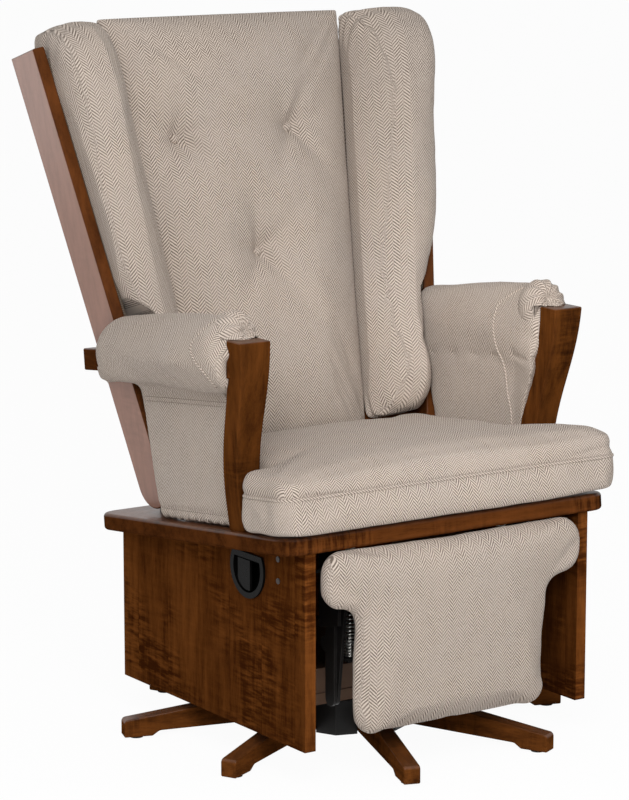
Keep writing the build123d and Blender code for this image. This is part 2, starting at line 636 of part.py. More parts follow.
def arms():
    """Arm posts, arm rails, arm pads and the upholstered panels below the pads."""
    foot_z = deck_top(ARM_POST_FOOT_FRONT_Y)
    rise = ARM_POST_TOP_Z - foot_z
    post = loft([arm_post_section(foot_z + share * rise, reach * ARM_POST_TOP_REACH)
                 for share, reach in ARM_POST_CURVE_SHARES])
    long_edges = post.edges().filter_by(lambda edge: edge.length > rise / 2)
    top_edges = post.faces().sort_by(Axis.Z)[-1].edges()
    post = fillet(long_edges + top_edges, ARM_POST_EDGE_RADIUS)
    below_deck = deck_frame * Pos(0, 0, -rise) * Box(rise * 4, rise * 4, rise * 2)
    post -= below_deck
    pair("arm_post", post)

    run = ARM_RAIL_REAR_Y - ARM_RAIL_FRONT_Y
    toe = math.atan2(ARM_RAIL_REAR_X - ARM_RAIL_FRONT_X, run)
    rail_length = run / math.cos(toe)
    rail_frame = Pos(ARM_RAIL_REAR_X, ARM_RAIL_REAR_Y, ARM_RAIL_REAR_Z)
    rail_frame *= Rot(0, 0, -math.degrees(toe)) * Rot(-DECK_FALL_ANGLE, 0, 0)
    rail_align = (Align.CENTER, Align.MAX, Align.CENTER)
    rail = Box(ARM_RAIL_THICKNESS, rail_length, ARM_RAIL_HEIGHT, align=rail_align)
    rail = rail_frame * fillet(rail.edges(), ARM_POST_EDGE_RADIUS)

    def post_rear(z):
        level = block(0, 2 * ARM_RAIL_REAR_X, -ARM_POST_TOP_Z, 0, z - FACE_GAP, z + FACE_GAP)
        return (post & level).bounding_box().max.Y

    rear_line = [foot_z + share * rise for share in ARM_POST_REAR_SHARES]
    rear_line = [(post_rear(z) + ARM_PANEL_GAP, z) for z in rear_line]
    post_envelope = side_plate(
        [
            *rear_line,
            (rear_line[-1][0], ARM_POST_TOP_Z + FACE_GAP),
            (-ARM_POST_TOP_Z, ARM_POST_TOP_Z + FACE_GAP),
            (-ARM_POST_TOP_Z, foot_z),
        ],
        ARM_POST_FOOT_OUTER_X - ARM_POST_TOP_WIDTH, ARM_RAIL_REAR_X + ARM_RAIL_THICKNESS,
    )
    ahead_of_post = block(
        0, 2 * ARM_RAIL_REAR_X,
        -ARM_POST_TOP_Z, ARM_POST_FOOT_FRONT_Y - ARM_POST_TOP_REACH + ARM_POST_DEPTH / 2,
        0, ARM_POST_TOP_Z,
    )
    pair("arm_rail", rail - ahead_of_post - post)

    def pad_top(y):
        return ARM_PAD_FRONT_TOP_Z - ARM_PAD_FALL * (y - ARM_PAD_FRONT_Y)

    def pad_section(y, swell):
        inner = ARM_PAD_FRONT_X - swell
        outer = inner + ARM_PAD_WIDTH + 2 * swell
        top = pad_top(y) + swell
        corners = [
            (inner, top - ARM_PAD_HEIGHT),
            (outer, top - ARM_PAD_HEIGHT),
            (outer, top),
            (inner, top),
        ]
        hem = ARM_PAD_HEM_RADIUS
        crown = ARM_PAD_CROWN_RADIUS + swell
        outline = FilletPolyline(*corners, radius=[hem, hem, crown, crown], close=True)
        return Pos(0, y, 0) * (Plane.XZ * make_face(outline))

    pad_length = ARM_PAD_REAR_Y - ARM_PAD_FRONT_Y
    pad = loft([pad_section(ARM_PAD_FRONT_Y + share * pad_length, swell)
                for share, swell in ARM_PAD_FORM])
    channel = Box(
        ARM_RAIL_THICKNESS + 2 * FACE_GAP, rail_length, ARM_RAIL_HEIGHT + 2 * FACE_GAP, align=rail_align)
    slot = Pos(0, 0, -ARM_PAD_HEIGHT / 2) * channel
    pad -= rail_frame * (channel + slot)
    pad -= post_envelope
    clear = BOLSTER_POST_GAP
    post_slab = block(
        -BACK_POST_FOOT_X, clear, -BACK_HALF_DEPTH - clear, ARM_PAD_REAR_Y, 0, BACK_POST_LENGTH)
    pad -= back_frame * Pos(BACK_POST_FOOT_X, 0, 0) * Rot(0, BACK_SPLAY, 0) * post_slab
    pair("arm_pad", pad)

    post_room = side_plate(
        [
            (back_front_y(0) - BACK_POST_EDGE_RADIUS, 0),
            (2 * ARM_RAIL_REAR_Y, 0),
            (2 * ARM_RAIL_REAR_Y, ARM_PAD_FRONT_TOP_Z),
            (back_front_y(ARM_PAD_FRONT_TOP_Z) - BACK_POST_EDGE_RADIUS, ARM_PAD_FRONT_TOP_Z),
        ],
        0, ARM_RAIL_REAR_X,
    )

    def panel_top(y):
        return pad_top(y) - ARM_PAD_HEIGHT - FACE_GAP

    panel_front = rear_line[0][0] - ARM_POST_TOP_REACH
    outline = [
        (panel_front, deck_top(panel_front) + FACE_GAP),
        (ARM_PAD_REAR_Y, deck_top(ARM_PAD_REAR_Y) + FACE_GAP),
        (ARM_PAD_REAR_Y, panel_top(ARM_PAD_REAR_Y)),
        (panel_front, panel_top(panel_front) - ARM_PANEL_FRONT_DROP),
    ]
    panel = side_plate(outline, ARM_PANEL_INNER_X, ARM_PANEL_INNER_X + ARM_PANEL_THICKNESS)
    ahead = -ARM_POST_TOP_Z
    curve = [(rear_line[0][0], foot_z - ARM_POST_DEPTH), *rear_line]
    corners = [curve[-1], (ahead, curve[-1][1]), (ahead, curve[0][1]), curve[0]]
    post_side = [Line(start, end) for start, end in zip(corners, corners[1:])]
    post_side = Plane.YZ * make_face(Wire([Spline(*curve), *post_side]))
    panel -= extrude(post_side, 2 * ARM_RAIL_REAR_X)
    panel -= post_room
    pair("arm_panel", fillet(panel.edges(), ARM_PANEL_EDGE_RADIUS))


def seat():
    """T shaped seat cushion lying on the sloping deck."""
    levels = [
        (FACE_GAP, SEAT_HEM_INSET),
        (SEAT_WELT_HEIGHT * 0.2, SEAT_HEM_INSET * 0.2),
        (SEAT_WELT_HEIGHT * 0.6, 0.0),
        (SEAT_WELT_HEIGHT, 0.0),
    ]
    for step in range(1, SEAT_SHOULDER_STEPS + 1):
        angle = math.radians(90 * step / SEAT_SHOULDER_STEPS)
        height = SEAT_WELT_HEIGHT + (SEAT_CROWN_HEIGHT - SEAT_WELT_HEIGHT) * math.sin(angle)
        levels.append((height, SEAT_SHOULDER_INSET * (1 - math.cos(angle))))
    sections = []
    for height, inset in levels:
        ear_inset = min(inset, SEAT_INNER_RADIUS)
        front = SEAT_FRONT_Y - DECK_FRONT_Y + inset
        ear_rear = SEAT_EAR_REAR_Y - DECK_FRONT_Y - ear_inset
        corner = min(SEAT_CORNER_RADIUS, (ear_rear - front) * 0.4)
        outline = tee_outline(
            SEAT_EAR_HALF_WIDTH - inset, SEAT_BODY_HALF_WIDTH - inset,
            front, ear_rear, SEAT_REAR_Y - DECK_FRONT_Y - inset * SEAT_REAR_INSET_SHARE,
            corner, SEAT_INNER_RADIUS, SEAT_SIDE_DRAW,
        )
        sections.append(Pos(0, 0, height) * outline)
    peak_y = (SEAT_FRONT_Y + SEAT_REAR_Y) / 2 - DECK_FRONT_Y + SEAT_CROWN_SETBACK
    dome = Pos(0, peak_y, SEAT_CROWN_HEIGHT - SEAT_CROWN_RADIUS) * Sphere(SEAT_CROWN_RADIUS)
    parts["seat_cushion"] = deck_frame * (loft(sections) & dome)


def seam_x(v):
    """Half width of the centre cushion at the height v up the back."""
    return CUSHION_SEAM_FOOT_X + CUSHION_SEAM_SPREAD * v


def post_inner_x(v):
    """Inner face of the right back post at the height v up the back."""
    return BACK_INNER_FOOT_X + BACK_SPREAD * v


def back_frame_pieces():
    """Leaning posts, cross rails, upholstered panel, pivot bolts and their brackets."""
    half = BACK_HALF_DEPTH
    board = block(-BACK_POST_THICKNESS, 0, -half, half, 0, BACK_POST_LENGTH)
    board += cross_bar(half, -BACK_POST_THICKNESS, 0, 0, 0)
    board = fillet(board.faces().filter_by(Axis.X).edges(), BACK_POST_EDGE_RADIUS)
    post = Pos(BACK_POST_FOOT_X, 0, 0) * Rot(0, BACK_SPLAY, 0) * board
    bolt_end = BACK_POST_FOOT_X - BACK_BOLT_BLIND
    post -= cross_bar(BACK_BOLT_RADIUS + BORE_GAP, BRACKET_OUTER_X, bolt_end, 0, 0)
    pair("back_post", back_frame * post)

    bracket_inner = BRACKET_OUTER_X - BRACKET_THICKNESS
    bolt = cross_bar(BACK_BOLT_RADIUS, bracket_inner - FACE_GAP, bolt_end, 0, 0)
    bolt += cross_bar(
        BACK_BOLT_HEAD_RADIUS, bracket_inner - FACE_GAP - BACK_BOLT_HEAD_HEIGHT,
        bracket_inner - FACE_GAP, 0, 0)
    collar_end = BACK_INNER_FOOT_X - BACK_SPREAD * BACK_BOLT_HEAD_RADIUS
    bolt += cross_bar(BACK_BOLT_HEAD_RADIUS, BRACKET_OUTER_X + FACE_GAP, collar_end, 0, 0)
    bolt = back_frame * bolt
    group("back_pivot_bolts", [bolt, mirrored(bolt)])

    front = BACK_PIVOT_Y - BRACKET_HALF_DEPTH
    rear = BACK_PIVOT_Y + BRACKET_HALF_DEPTH
    plate = side_plate(
        [
            (front, deck_top(front)),
            (rear, deck_top(rear)),
            (BACK_PIVOT_Y + BRACKET_HEAD_RADIUS, BACK_PIVOT_Z),
            (BACK_PIVOT_Y - BRACKET_HEAD_RADIUS, BACK_PIVOT_Z),
        ],
        bracket_inner, BRACKET_OUTER_X,
    )
    plate += cross_bar(BRACKET_HEAD_RADIUS, bracket_inner, BRACKET_OUTER_X, BACK_PIVOT_Y, BACK_PIVOT_Z)
    plate += side_plate(
        [
            (front, deck_top(front)),
            (rear, deck_top(rear)),
            (rear, deck_top(rear) + BRACKET_THICKNESS),
            (front, deck_top(front) + BRACKET_THICKNESS),
        ],
        BRACKET_OUTER_X - BRACKET_FLANGE, BRACKET_OUTER_X,
    )
    plate -= cross_bar(
        BACK_BOLT_RADIUS + RUNNING_GAP, bracket_inner, BRACKET_OUTER_X, BACK_PIVOT_Y, BACK_PIVOT_Z)
    group("back_pivot_brackets", [plate, mirrored(plate)])

    def between_posts(v0, v1, y0, y1):
        corners = [
            (-post_inner_x(v0), v0),
            (post_inner_x(v0), v0),
            (post_inner_x(v1), v1),
            (-post_inner_x(v1), v1),
        ]
        face = make_face(Polyline(*corners, close=True))
        return Pos(0, y1, 0) * extrude(Plane.XZ * face, y1 - y0)

    rail_front = half - BACK_RAIL_THICKNESS
    lower_top = BACK_LOWER_RAIL_V + BACK_RAIL_HEIGHT
    upper_top = BACK_UPPER_RAIL_V + BACK_RAIL_HEIGHT
    lower = between_posts(BACK_LOWER_RAIL_V, lower_top, rail_front, half)
    upper = between_posts(BACK_UPPER_RAIL_V, upper_top, rail_front, half)
    parts["back_lower_rail"] = back_frame * lower
    parts["back_upper_rail"] = back_frame * upper
    panel_front = half - BACK_PANEL_THICKNESS
    panel = between_posts(lower_top + FACE_GAP, BACK_UPPER_RAIL_V - FACE_GAP, panel_front, half)
    parts["back_panel"] = back_frame * fillet(panel.edges(), BACK_PANEL_EDGE_RADIUS)


def back_cushions():
    """Tufted centre cushion, two bolsters and the buttons."""
    base = CUSHION_BASE - (BACK_RAIL_THICKNESS - BACK_PANEL_THICKNESS)
    seam = base - CUSHION_SEAM_DEPTH

    def centre_section(v, fullness, narrowing):
        half = seam_x(v) - FACE_GAP - narrowing
        crest = base - CUSHION_SEAM_DEPTH - fullness * (CUSHION_CROWN - CUSHION_SEAM_DEPTH)
        outline = [
            Line((-half, base), (half, base)),
            Line((half, base), (half, seam)),
            ThreePointArc((half, seam), (0, crest), (-half, seam)),
            Line((-half, seam), (-half, base)),
        ]
        return Pos(0, 0, v) * make_face(Wire(outline))

    def wedge(foot_x, spread):
        low = -CUSHION_FOOT_V
        high = 2 * CUSHION_HEAD_V
        corners = [
            (-foot_x - spread * low, low),
            (foot_x + spread * low, low),
            (foot_x + spread * high, high),
            (-foot_x - spread * high, high),
        ]
        face = make_face(Polyline(*corners, close=True))
        return extrude(Plane.XZ * face, BOLSTER_CREST * 2, both=True)

    rise = CUSHION_HEAD_V - CUSHION_FOOT_V
    centre = loft([centre_section(CUSHION_FOOT_V + share * rise, full, narrow)
                   for share, full, narrow in CUSHION_FORM])
    centre &= wedge(CUSHION_SEAM_FOOT_X - FACE_GAP, CUSHION_SEAM_SPREAD)
    buttons = []
    places = [
        (-BUTTON_UPPER_X, BUTTON_UPPER_V),
        (BUTTON_UPPER_X, BUTTON_UPPER_V),
        (0, BUTTON_LOWER_V),
    ]
    for x, v in places:
        to_place = Pos(x, seam, v) * Rot(90, 0, 0)
        cone = Cone(BUTTON_RADIUS + 2 * FACE_GAP, BUTTON_PULL_RADIUS, CUSHION_CROWN,
                    align=(Align.CENTER, Align.CENTER, Align.MIN))
        centre -= to_place * cone
        knob = Cylinder(BUTTON_RADIUS, BUTTON_HEIGHT, align=(Align.CENTER, Align.CENTER, Align.MIN))
        knob = fillet(knob.faces().sort_by(Axis.Z)[-1].edges(), BUTTON_HEIGHT / 2)
        buttons.append(back_frame * to_place * Pos(0, 0, FACE_GAP) * knob)
    parts["back_cushion"] = back_frame * centre
    group("back_buttons", buttons)

    def bolster_section(v, outer, fullness, narrowing):
        inner = seam_x(v) + FACE_GAP + narrowing
        far = outer - narrowing
        crest = base - fullness * BOLSTER_CREST
        corners = [(inner, base), (far, base), (far, crest), (inner, crest)]
        round_over = min(BOLSTER_ROUND, (far - inner) * 0.42)
        radii = [BOLSTER_HEM, BOLSTER_HEM, round_over, round_over]
        outline = FilletPolyline(*corners, radius=radii, close=True)
        return Pos(0, 0, v) * make_face(outline)

    span = BOLSTER_HEAD_V - CUSHION_FOOT_V
    sections = []
    for share, full, narrow, stand_in in BOLSTER_WAIST_FORM:
        v = CUSHION_FOOT_V + share * span
        sections.append(bolster_section(v, BOLSTER_WAIST_X - stand_in, full, narrow))
    for share, full, narrow, stand_in in BOLSTER_HEAD_FORM:
        v = CUSHION_FOOT_V + share * span
        sections.append(bolster_section(v, post_inner_x(v) - stand_in, full, narrow))
    bolster = loft(sections)
    bolster -= wedge(CUSHION_SEAM_FOOT_X + FACE_GAP, CUSHION_SEAM_SPREAD)
    bolster &= wedge(BACK_INNER_FOOT_X - BOLSTER_POST_GAP, BACK_SPREAD)
    pair("bolster", back_frame * bolster)


def footrest():
    """Side plates, arms, cross tube, links, board, brackets and pad of the footrest."""
    plate_inner = MECH_PLATE_OUTER_X - MECH_PLATE_THICKNESS
    outline = [
        (MECH_PLATE_FRONT_Y, MECH_PLATE_BOTTOM_Z + FOOT_ARM_HALF_WIDTH),
        (MECH_PLATE_REAR_Y, MECH_PLATE_BOTTOM_Z),
        (MECH_PLATE_REAR_Y, deck_underside(MECH_PLATE_REAR_Y)),
        (MECH_PLATE_FRONT_Y, deck_underside(MECH_PLATE_FRONT_Y)),
    ]
    plate = side_plate(outline, plate_inner, MECH_PLATE_OUTER_X)
    flange = [
        (MECH_PLATE_FRONT_Y, deck_underside(MECH_PLATE_FRONT_Y) - MECH_FLANGE_THICKNESS),
        (MECH_PLATE_REAR_Y, deck_underside(MECH_PLATE_REAR_Y) - MECH_FLANGE_THICKNESS),
        (MECH_PLATE_REAR_Y, deck_underside(MECH_PLATE_REAR_Y)),
        (MECH_PLATE_FRONT_Y, deck_underside(MECH_PLATE_FRONT_Y)),
    ]
    plate += side_plate(flange, MECH_PLATE_OUTER_X - MECH_FLANGE_WIDTH, MECH_PLATE_OUTER_X)
    pivot = (ARM_PIVOT_Y, ARM_PIVOT_Z)
    knee = (ARM_PIVOT_Y, KNEE_Z)
    pad_pivot = (PAD_PIVOT_Y, PAD_PIVOT_Z)
    plate -= cross_bar(RIVET_RADIUS + BORE_GAP, plate_inner, MECH_PLATE_OUTER_X, *pivot)
    group("footrest_side_plates", [plate, mirrored(plate)])

    def rivet(x_low, x_high, place):
        pin = cross_bar(RIVET_RADIUS, x_low - FACE_GAP, x_high + FACE_GAP, *place)
        pin += cross_bar(
            RIVET_HEAD_RADIUS, x_low - FACE_GAP - RIVET_HEAD_THICKNESS, x_low - FACE_GAP, *place)
        return pin

    arm_inner = FOOT_ARM_OUTER_X - FOOT_ARM_THICKNESS
    link_inner = FOOT_LINK_OUTER_X - FOOT_ARM_THICKNESS
    bracket_inner = FOOT_BRACKET_OUTER_X - FOOT_ARM_THICKNESS
    pivot_pin = rivet(arm_inner, MECH_PLATE_OUTER_X - FACE_GAP, pivot)
    pivot_pin += cross_bar(RIVET_HEAD_RADIUS, FOOT_ARM_OUTER_X + FACE_GAP, plate_inner, *pivot)
    group("footrest_pivot_pins", [pivot_pin, mirrored(pivot_pin)])

    tube_place = (ARM_PIVOT_Y + CROSS_TUBE_SETBACK, ARM_PIVOT_Z - CROSS_TUBE_DROP)
    arm = link_plate(pivot, knee, FOOT_ARM_HALF_WIDTH, arm_inner, FOOT_ARM_OUTER_X)
    arm += link_plate(
        (ARM_PIVOT_Y, tube_place[1]), tube_place, FOOT_ARM_HALF_WIDTH, arm_inner, FOOT_ARM_OUTER_X)
    arm -= cross_bar(RIVET_RADIUS + RUNNING_GAP, arm_inner, FOOT_ARM_OUTER_X, *pivot)
    arm += rivet(link_inner, arm_inner - FACE_GAP, knee)
    arm += cross_bar(
        RIVET_HEAD_RADIUS, FOOT_LINK_OUTER_X + FACE_GAP, arm_inner, *knee)
    group("footrest_arms", [arm, mirrored(arm)])
    tube = cross_bar(CROSS_TUBE_RADIUS, -arm_inner, arm_inner, *tube_place)
    lug_low = SPRING_X - SPRING_LUG_THICKNESS / 2
    lug_high = SPRING_X + SPRING_LUG_THICKNESS / 2
    lug_half = SPRING_SEAT_THICKNESS
    lug_foot = (tube_place[0], SPRING_SEAT_Z - lug_half)
    lug = link_plate(tube_place, lug_foot, lug_half, lug_low, lug_high)
    lug += link_plate(lug_foot, (SPRING_Y, lug_foot[1]), lug_half, lug_low, lug_high)
    seat_half = SPRING_COIL_RADIUS + SPRING_WIRE_RADIUS + SPRING_SEAT_MARGIN
    lug += block(
        SPRING_X - seat_half, SPRING_X + seat_half, SPRING_Y - seat_half, SPRING_Y + seat_half,
        SPRING_SEAT_Z - SPRING_SEAT_THICKNESS, SPRING_SEAT_Z)
    tube += lug
    tube += mirrored(lug)
    tube -= cross_bar(CROSS_TUBE_RADIUS - CROSS_TUBE_WALL, -arm_inner, arm_inner, *tube_place)
    parts["footrest_cross_tube"] = tube

    link = link_plate(knee, pad_pivot, FOOT_LINK_HALF_WIDTH, link_inner, FOOT_LINK_OUTER_X)
    link -= cross_bar(RIVET_RADIUS + RUNNING_GAP, link_inner, FOOT_LINK_OUTER_X, *knee)
    link += rivet(bracket_inner, link_inner - FACE_GAP, pad_pivot)
    link += cross_bar(
        RIVET_HEAD_RADIUS, FOOT_BRACKET_OUTER_X + FACE_GAP, link_inner, *pad_pivot)
    group("footrest_links", [link, mirrored(link)])

    board_rear = FOOTREST_BACK_Y + FACE_GAP + FOOTREST_BOARD_THICKNESS
    ear = link_plate(
        pad_pivot, (board_rear - FOOT_LINK_HALF_WIDTH, PAD_PIVOT_Z), FOOT_LINK_HALF_WIDTH,
        bracket_inner, FOOT_BRACKET_OUTER_X)
    ear &= block(
        bracket_inner, FOOT_BRACKET_OUTER_X, board_rear, 0, 0, ARM_POST_TOP_Z)
    flange_low = PAD_PIVOT_Z - 2 * FOOT_LINK_HALF_WIDTH
    flange_high = PAD_PIVOT_Z + FOOT_LINK_HALF_WIDTH
    ear += block(
        bracket_inner - FOOTREST_BRACKET_FLANGE, FOOT_BRACKET_OUTER_X,
        board_rear, board_rear + MECH_FLANGE_THICKNESS, flange_low, flange_high)
    ear -= cross_bar(RIVET_RADIUS + RUNNING_GAP, bracket_inner, FOOT_BRACKET_OUTER_X, *pad_pivot)
    group("footrest_brackets", [ear, mirrored(ear)])

    inset = FOOTREST_BOARD_INSET
    board = tee_outline(
        FOOTREST_BAR_HALF_WIDTH - inset, FOOTREST_STEM_HALF_WIDTH - inset,
        FOOTREST_TOP_Z - inset, FOOTREST_SHELF_Z + inset, FOOTREST_BOTTOM_Z + inset,
        FOOTREST_CORNER_RADIUS - inset, FOOTREST_INNER_RADIUS, FOOTREST_SIDE_DRAW,
    )
    board = extrude(Plane.XZ * board, FOOTREST_BOARD_THICKNESS)
    parts["footrest_board"] = Pos(0, board_rear, 0) * board

    sections = []
    for share, draw in FOOTREST_PAD_FORM:
        corner = max(FOOTREST_CORNER_RADIUS - draw, FOOTREST_CORNER_RADIUS / 3)
        outline = tee_outline(
            FOOTREST_BAR_HALF_WIDTH - draw, FOOTREST_STEM_HALF_WIDTH - draw,
            FOOTREST_TOP_Z - draw, FOOTREST_SHELF_Z + draw, FOOTREST_BOTTOM_Z + draw,
            corner, FOOTREST_INNER_RADIUS, FOOTREST_SIDE_DRAW,
        )
        y = FOOTREST_BACK_Y - share * FOOTREST_PAD_THICKNESS
        sections.append(Pos(0, y, 0) * (Plane.XZ * outline))
    parts["footrest_pad"] = loft(sections)


def springs():
    """Springs between the seats on the cross tube and the flanges under the deck."""
    flange_z = deck_underside(SPRING_Y + SPRING_COIL_RADIUS) - MECH_FLANGE_THICKNESS
    room = flange_z - SPRING_SEAT_Z
    end_gap = SPRING_WIRE_RADIUS + FACE_GAP
    turn_length = 2 * math.pi * SPRING_COIL_RADIUS
    foot_dip = SPRING_TAIL * room / SPRING_TURNS * (1 - SPRING_PITCH_GROWTH) / turn_length
    head_rise = SPRING_TAIL * room / SPRING_TURNS * (1 + SPRING_PITCH_GROWTH) / turn_length
    length = room - 2 * end_gap - foot_dip - head_rise

    def point_at(turn):
        share = turn / SPRING_TURNS
        angle = 2 * math.pi * turn
        rise = length * (share * (1 - SPRING_PITCH_GROWTH) + SPRING_PITCH_GROWTH * share ** 2)
        speed = length / SPRING_TURNS / (2 * math.pi)
        speed *= 1 - SPRING_PITCH_GROWTH + 2 * SPRING_PITCH_GROWTH * share
        place = Vector(
            SPRING_COIL_RADIUS * math.cos(angle), SPRING_COIL_RADIUS * math.sin(angle), rise)
        way = Vector(
            -SPRING_COIL_RADIUS * math.sin(angle), SPRING_COIL_RADIUS * math.cos(angle), speed)
        return place, way.normalized()

    path = helix_path(point_at, 4, SPRING_TURNS, SPRING_TAIL, SPRING_TAIL)
    start = path @ 0
    wire_plane = Plane(origin=start, z_dir=path % 0)
    spring = sweep(wire_plane * Circle(SPRING_WIRE_RADIUS), path=path)
    samples = [point_at(step / 24)[0] for step in range(24 * SPRING_TURNS + 1)]
    least = min((samples[i] - samples[j]).length
                for i in range(0, len(samples), 3) for j in range(i + 18, len(samples)))
    print("spring turns", SPRING_TURNS, "least gap to itself", round(least - 2 * SPRING_WIRE_RADIUS, 2))
    spring = Pos(SPRING_X, SPRING_Y, SPRING_SEAT_Z + end_gap + foot_dip) * spring
    group("footrest_springs", [spring, mirrored(spring)])


def release_handle():
    """Cup, paddle and cable of the footrest release in the left panel."""
    face = -PANEL_OUTER_X
    cup = Pos(face - HANDLE_BEZEL_THICKNESS, 0, 0) * extrude(
        handle_outline(HANDLE_BEZEL_RADIUS), HANDLE_BEZEL_THICKNESS)
    cup += Pos(face, 0, 0) * extrude(handle_outline(HANDLE_BODY_RADIUS), HANDLE_DEPTH)
    recess_radius = HANDLE_BODY_RADIUS - HANDLE_WALL
    recess_depth = HANDLE_BEZEL_THICKNESS + HANDLE_DEPTH - HANDLE_WALL
    recess = Pos(face - HANDLE_BEZEL_THICKNESS, 0, 0) * extrude(
        handle_outline(recess_radius), recess_depth)
    cup -= recess
    hinge_y = HANDLE_Y + PADDLE_HINGE_SETBACK
    hinge_x = face + PADDLE_BARREL_RADIUS
    half_chord = math.sqrt(recess_radius ** 2 - (PADDLE_HINGE_SETBACK + PADDLE_BARREL_RADIUS) ** 2)
    flat = HANDLE_FLAT_RISE - (HANDLE_BEZEL_RADIUS - recess_radius)
    barrel_low = HANDLE_Z - half_chord + PADDLE_GAP
    barrel_high = HANDLE_Z + min(flat, half_chord) - PADDLE_GAP
    paddle = Pos(face - PADDLE_THICKNESS / 2, 0, 0) * extrude(
        handle_outline(recess_radius - PADDLE_GAP), PADDLE_THICKNESS)
    paddle &= block(
        face - PADDLE_THICKNESS, 0, HANDLE_Y - PADDLE_REACH, hinge_y - PADDLE_REAR_TRIM,
        HANDLE_Z - recess_radius, HANDLE_Z + recess_radius)
    paddle += post_bar(PADDLE_BARREL_RADIUS, hinge_x, hinge_y, barrel_low, barrel_high)
    trunnion_low = barrel_low - PADDLE_GAP - PADDLE_TRUNNION_LENGTH
    trunnion_high = barrel_high + PADDLE_GAP + PADDLE_TRUNNION_LENGTH
    paddle += post_bar(PADDLE_TRUNNION_RADIUS, hinge_x, hinge_y, trunnion_low, trunnion_high)
    cup -= post_bar(
        PADDLE_TRUNNION_RADIUS + RUNNING_GAP, hinge_x, hinge_y,
        trunnion_low - FACE_GAP, trunnion_high + FACE_GAP)
    parts["handle_cup"] = cup
    parts["release_paddle"] = paddle

    cable_x = -PANEL_INNER_X + CABLE_RADIUS + FACE_GAP
    exit_y = HANDLE_Y - HANDLE_BODY_RADIUS - FACE_GAP
    plate_face = -MECH_PLATE_OUTER_X - FACE_GAP
    last_z = HANDLE_Z + CABLE_LAST_RISE
    route = [(cable_x, exit_y, HANDLE_Z)]
    for inward, forward, upward in (CABLE_FIRST_BEND, CABLE_SECOND_BEND):
        route.append((cable_x + inward, exit_y - forward, HANDLE_Z + upward))
    route.append((plate_face - CABLE_LAST_BEND_SHORT, exit_y - CABLE_LAST_FORWARD, last_z))
    route.append((plate_face, exit_y - CABLE_LAST_FORWARD, last_z))
    radii = []
    for before, here, after in zip(route, route[1:], route[2:]):
        run_in = Vector(*here) - Vector(*before)
        run_out = Vector(*after) - Vector(*here)
        half_turn = math.radians(run_in.get_angle(run_out)) / 2
        radii.append(CABLE_BEND_SHARE * min(run_in.length, run_out.length) / math.tan(half_turn))
    print("cable radii", [round(radius, 1) for radius in radii])
    path = FilletPolyline(*route, radius=radii)
    cable = sweep(Plane(origin=path @ 0, z_dir=path % 0) * Circle(CABLE_RADIUS), path=path)
    section = math.pi * CABLE_RADIUS ** 2
    print("cable volume over section times length", round(cable.volume / (section * path.length), 4))
    parts["release_cable"] = cable


star_base()
glider_frame()
glide_links()
box_and_deck()
arms()
seat()
back_frame_pieces()
back_cushions()
footrest()
springs()
release_handle()

parts = {name: shape if isinstance(shape, list) else [shape] for name, shape in parts.items()}
boxes = [solid.bounding_box() for solids in parts.values() for solid in solids]
front_reach = min(box.min.Y for box in boxes)
rear_reach = max(box.max.Y for box in boxes)
shift = -(front_reach + rear_reach) / 2
os.makedirs("parts", exist_ok=True)
for name, solids in parts.items():
    placed = [Pos(0, shift, 0) * solid for solid in solids]
    node = placed[0] if len(placed) == 1 else Compound(children=placed)
    export_step(node, "parts/" + name + ".step")
print("nodes", len(parts), "swivel axis y", round(shift, 4))
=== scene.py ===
import json
import math

import bmesh
import bpy
import numpy as np
from bpy.props import FloatProperty, FloatVectorProperty, IntProperty, PointerProperty
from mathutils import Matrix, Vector


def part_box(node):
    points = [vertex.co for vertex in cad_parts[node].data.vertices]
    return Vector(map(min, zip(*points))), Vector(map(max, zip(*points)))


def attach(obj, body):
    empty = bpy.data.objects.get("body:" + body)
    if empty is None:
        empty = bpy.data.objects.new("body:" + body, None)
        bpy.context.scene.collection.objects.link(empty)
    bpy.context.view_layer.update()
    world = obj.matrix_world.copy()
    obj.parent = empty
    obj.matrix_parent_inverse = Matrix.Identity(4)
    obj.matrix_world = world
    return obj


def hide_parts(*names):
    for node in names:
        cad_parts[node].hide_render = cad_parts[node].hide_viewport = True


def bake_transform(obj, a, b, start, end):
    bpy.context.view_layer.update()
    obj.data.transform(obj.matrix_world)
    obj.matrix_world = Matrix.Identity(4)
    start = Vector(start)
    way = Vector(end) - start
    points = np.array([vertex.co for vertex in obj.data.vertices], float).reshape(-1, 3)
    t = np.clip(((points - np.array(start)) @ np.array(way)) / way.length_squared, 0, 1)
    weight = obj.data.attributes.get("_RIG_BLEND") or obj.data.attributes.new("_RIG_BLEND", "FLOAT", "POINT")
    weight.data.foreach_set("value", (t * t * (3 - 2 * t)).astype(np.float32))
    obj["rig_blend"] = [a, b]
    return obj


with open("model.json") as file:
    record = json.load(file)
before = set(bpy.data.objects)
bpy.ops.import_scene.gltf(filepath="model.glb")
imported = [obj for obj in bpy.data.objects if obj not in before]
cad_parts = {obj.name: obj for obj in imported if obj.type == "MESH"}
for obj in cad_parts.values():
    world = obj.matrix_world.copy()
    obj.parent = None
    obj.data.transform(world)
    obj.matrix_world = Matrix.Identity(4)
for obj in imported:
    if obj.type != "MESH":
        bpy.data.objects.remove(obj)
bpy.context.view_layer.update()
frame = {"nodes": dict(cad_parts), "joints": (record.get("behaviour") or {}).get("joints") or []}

bl_info = {
    "name": "Swivel glider looks",
    "version": (1, 0, 0),
    "blender": (4, 5, 0),
    "location": "3D View > Sidebar > Glider",
    "description": "Upholstery, wood, metal and stage for a swivel glider",
    "category": "Object",
}

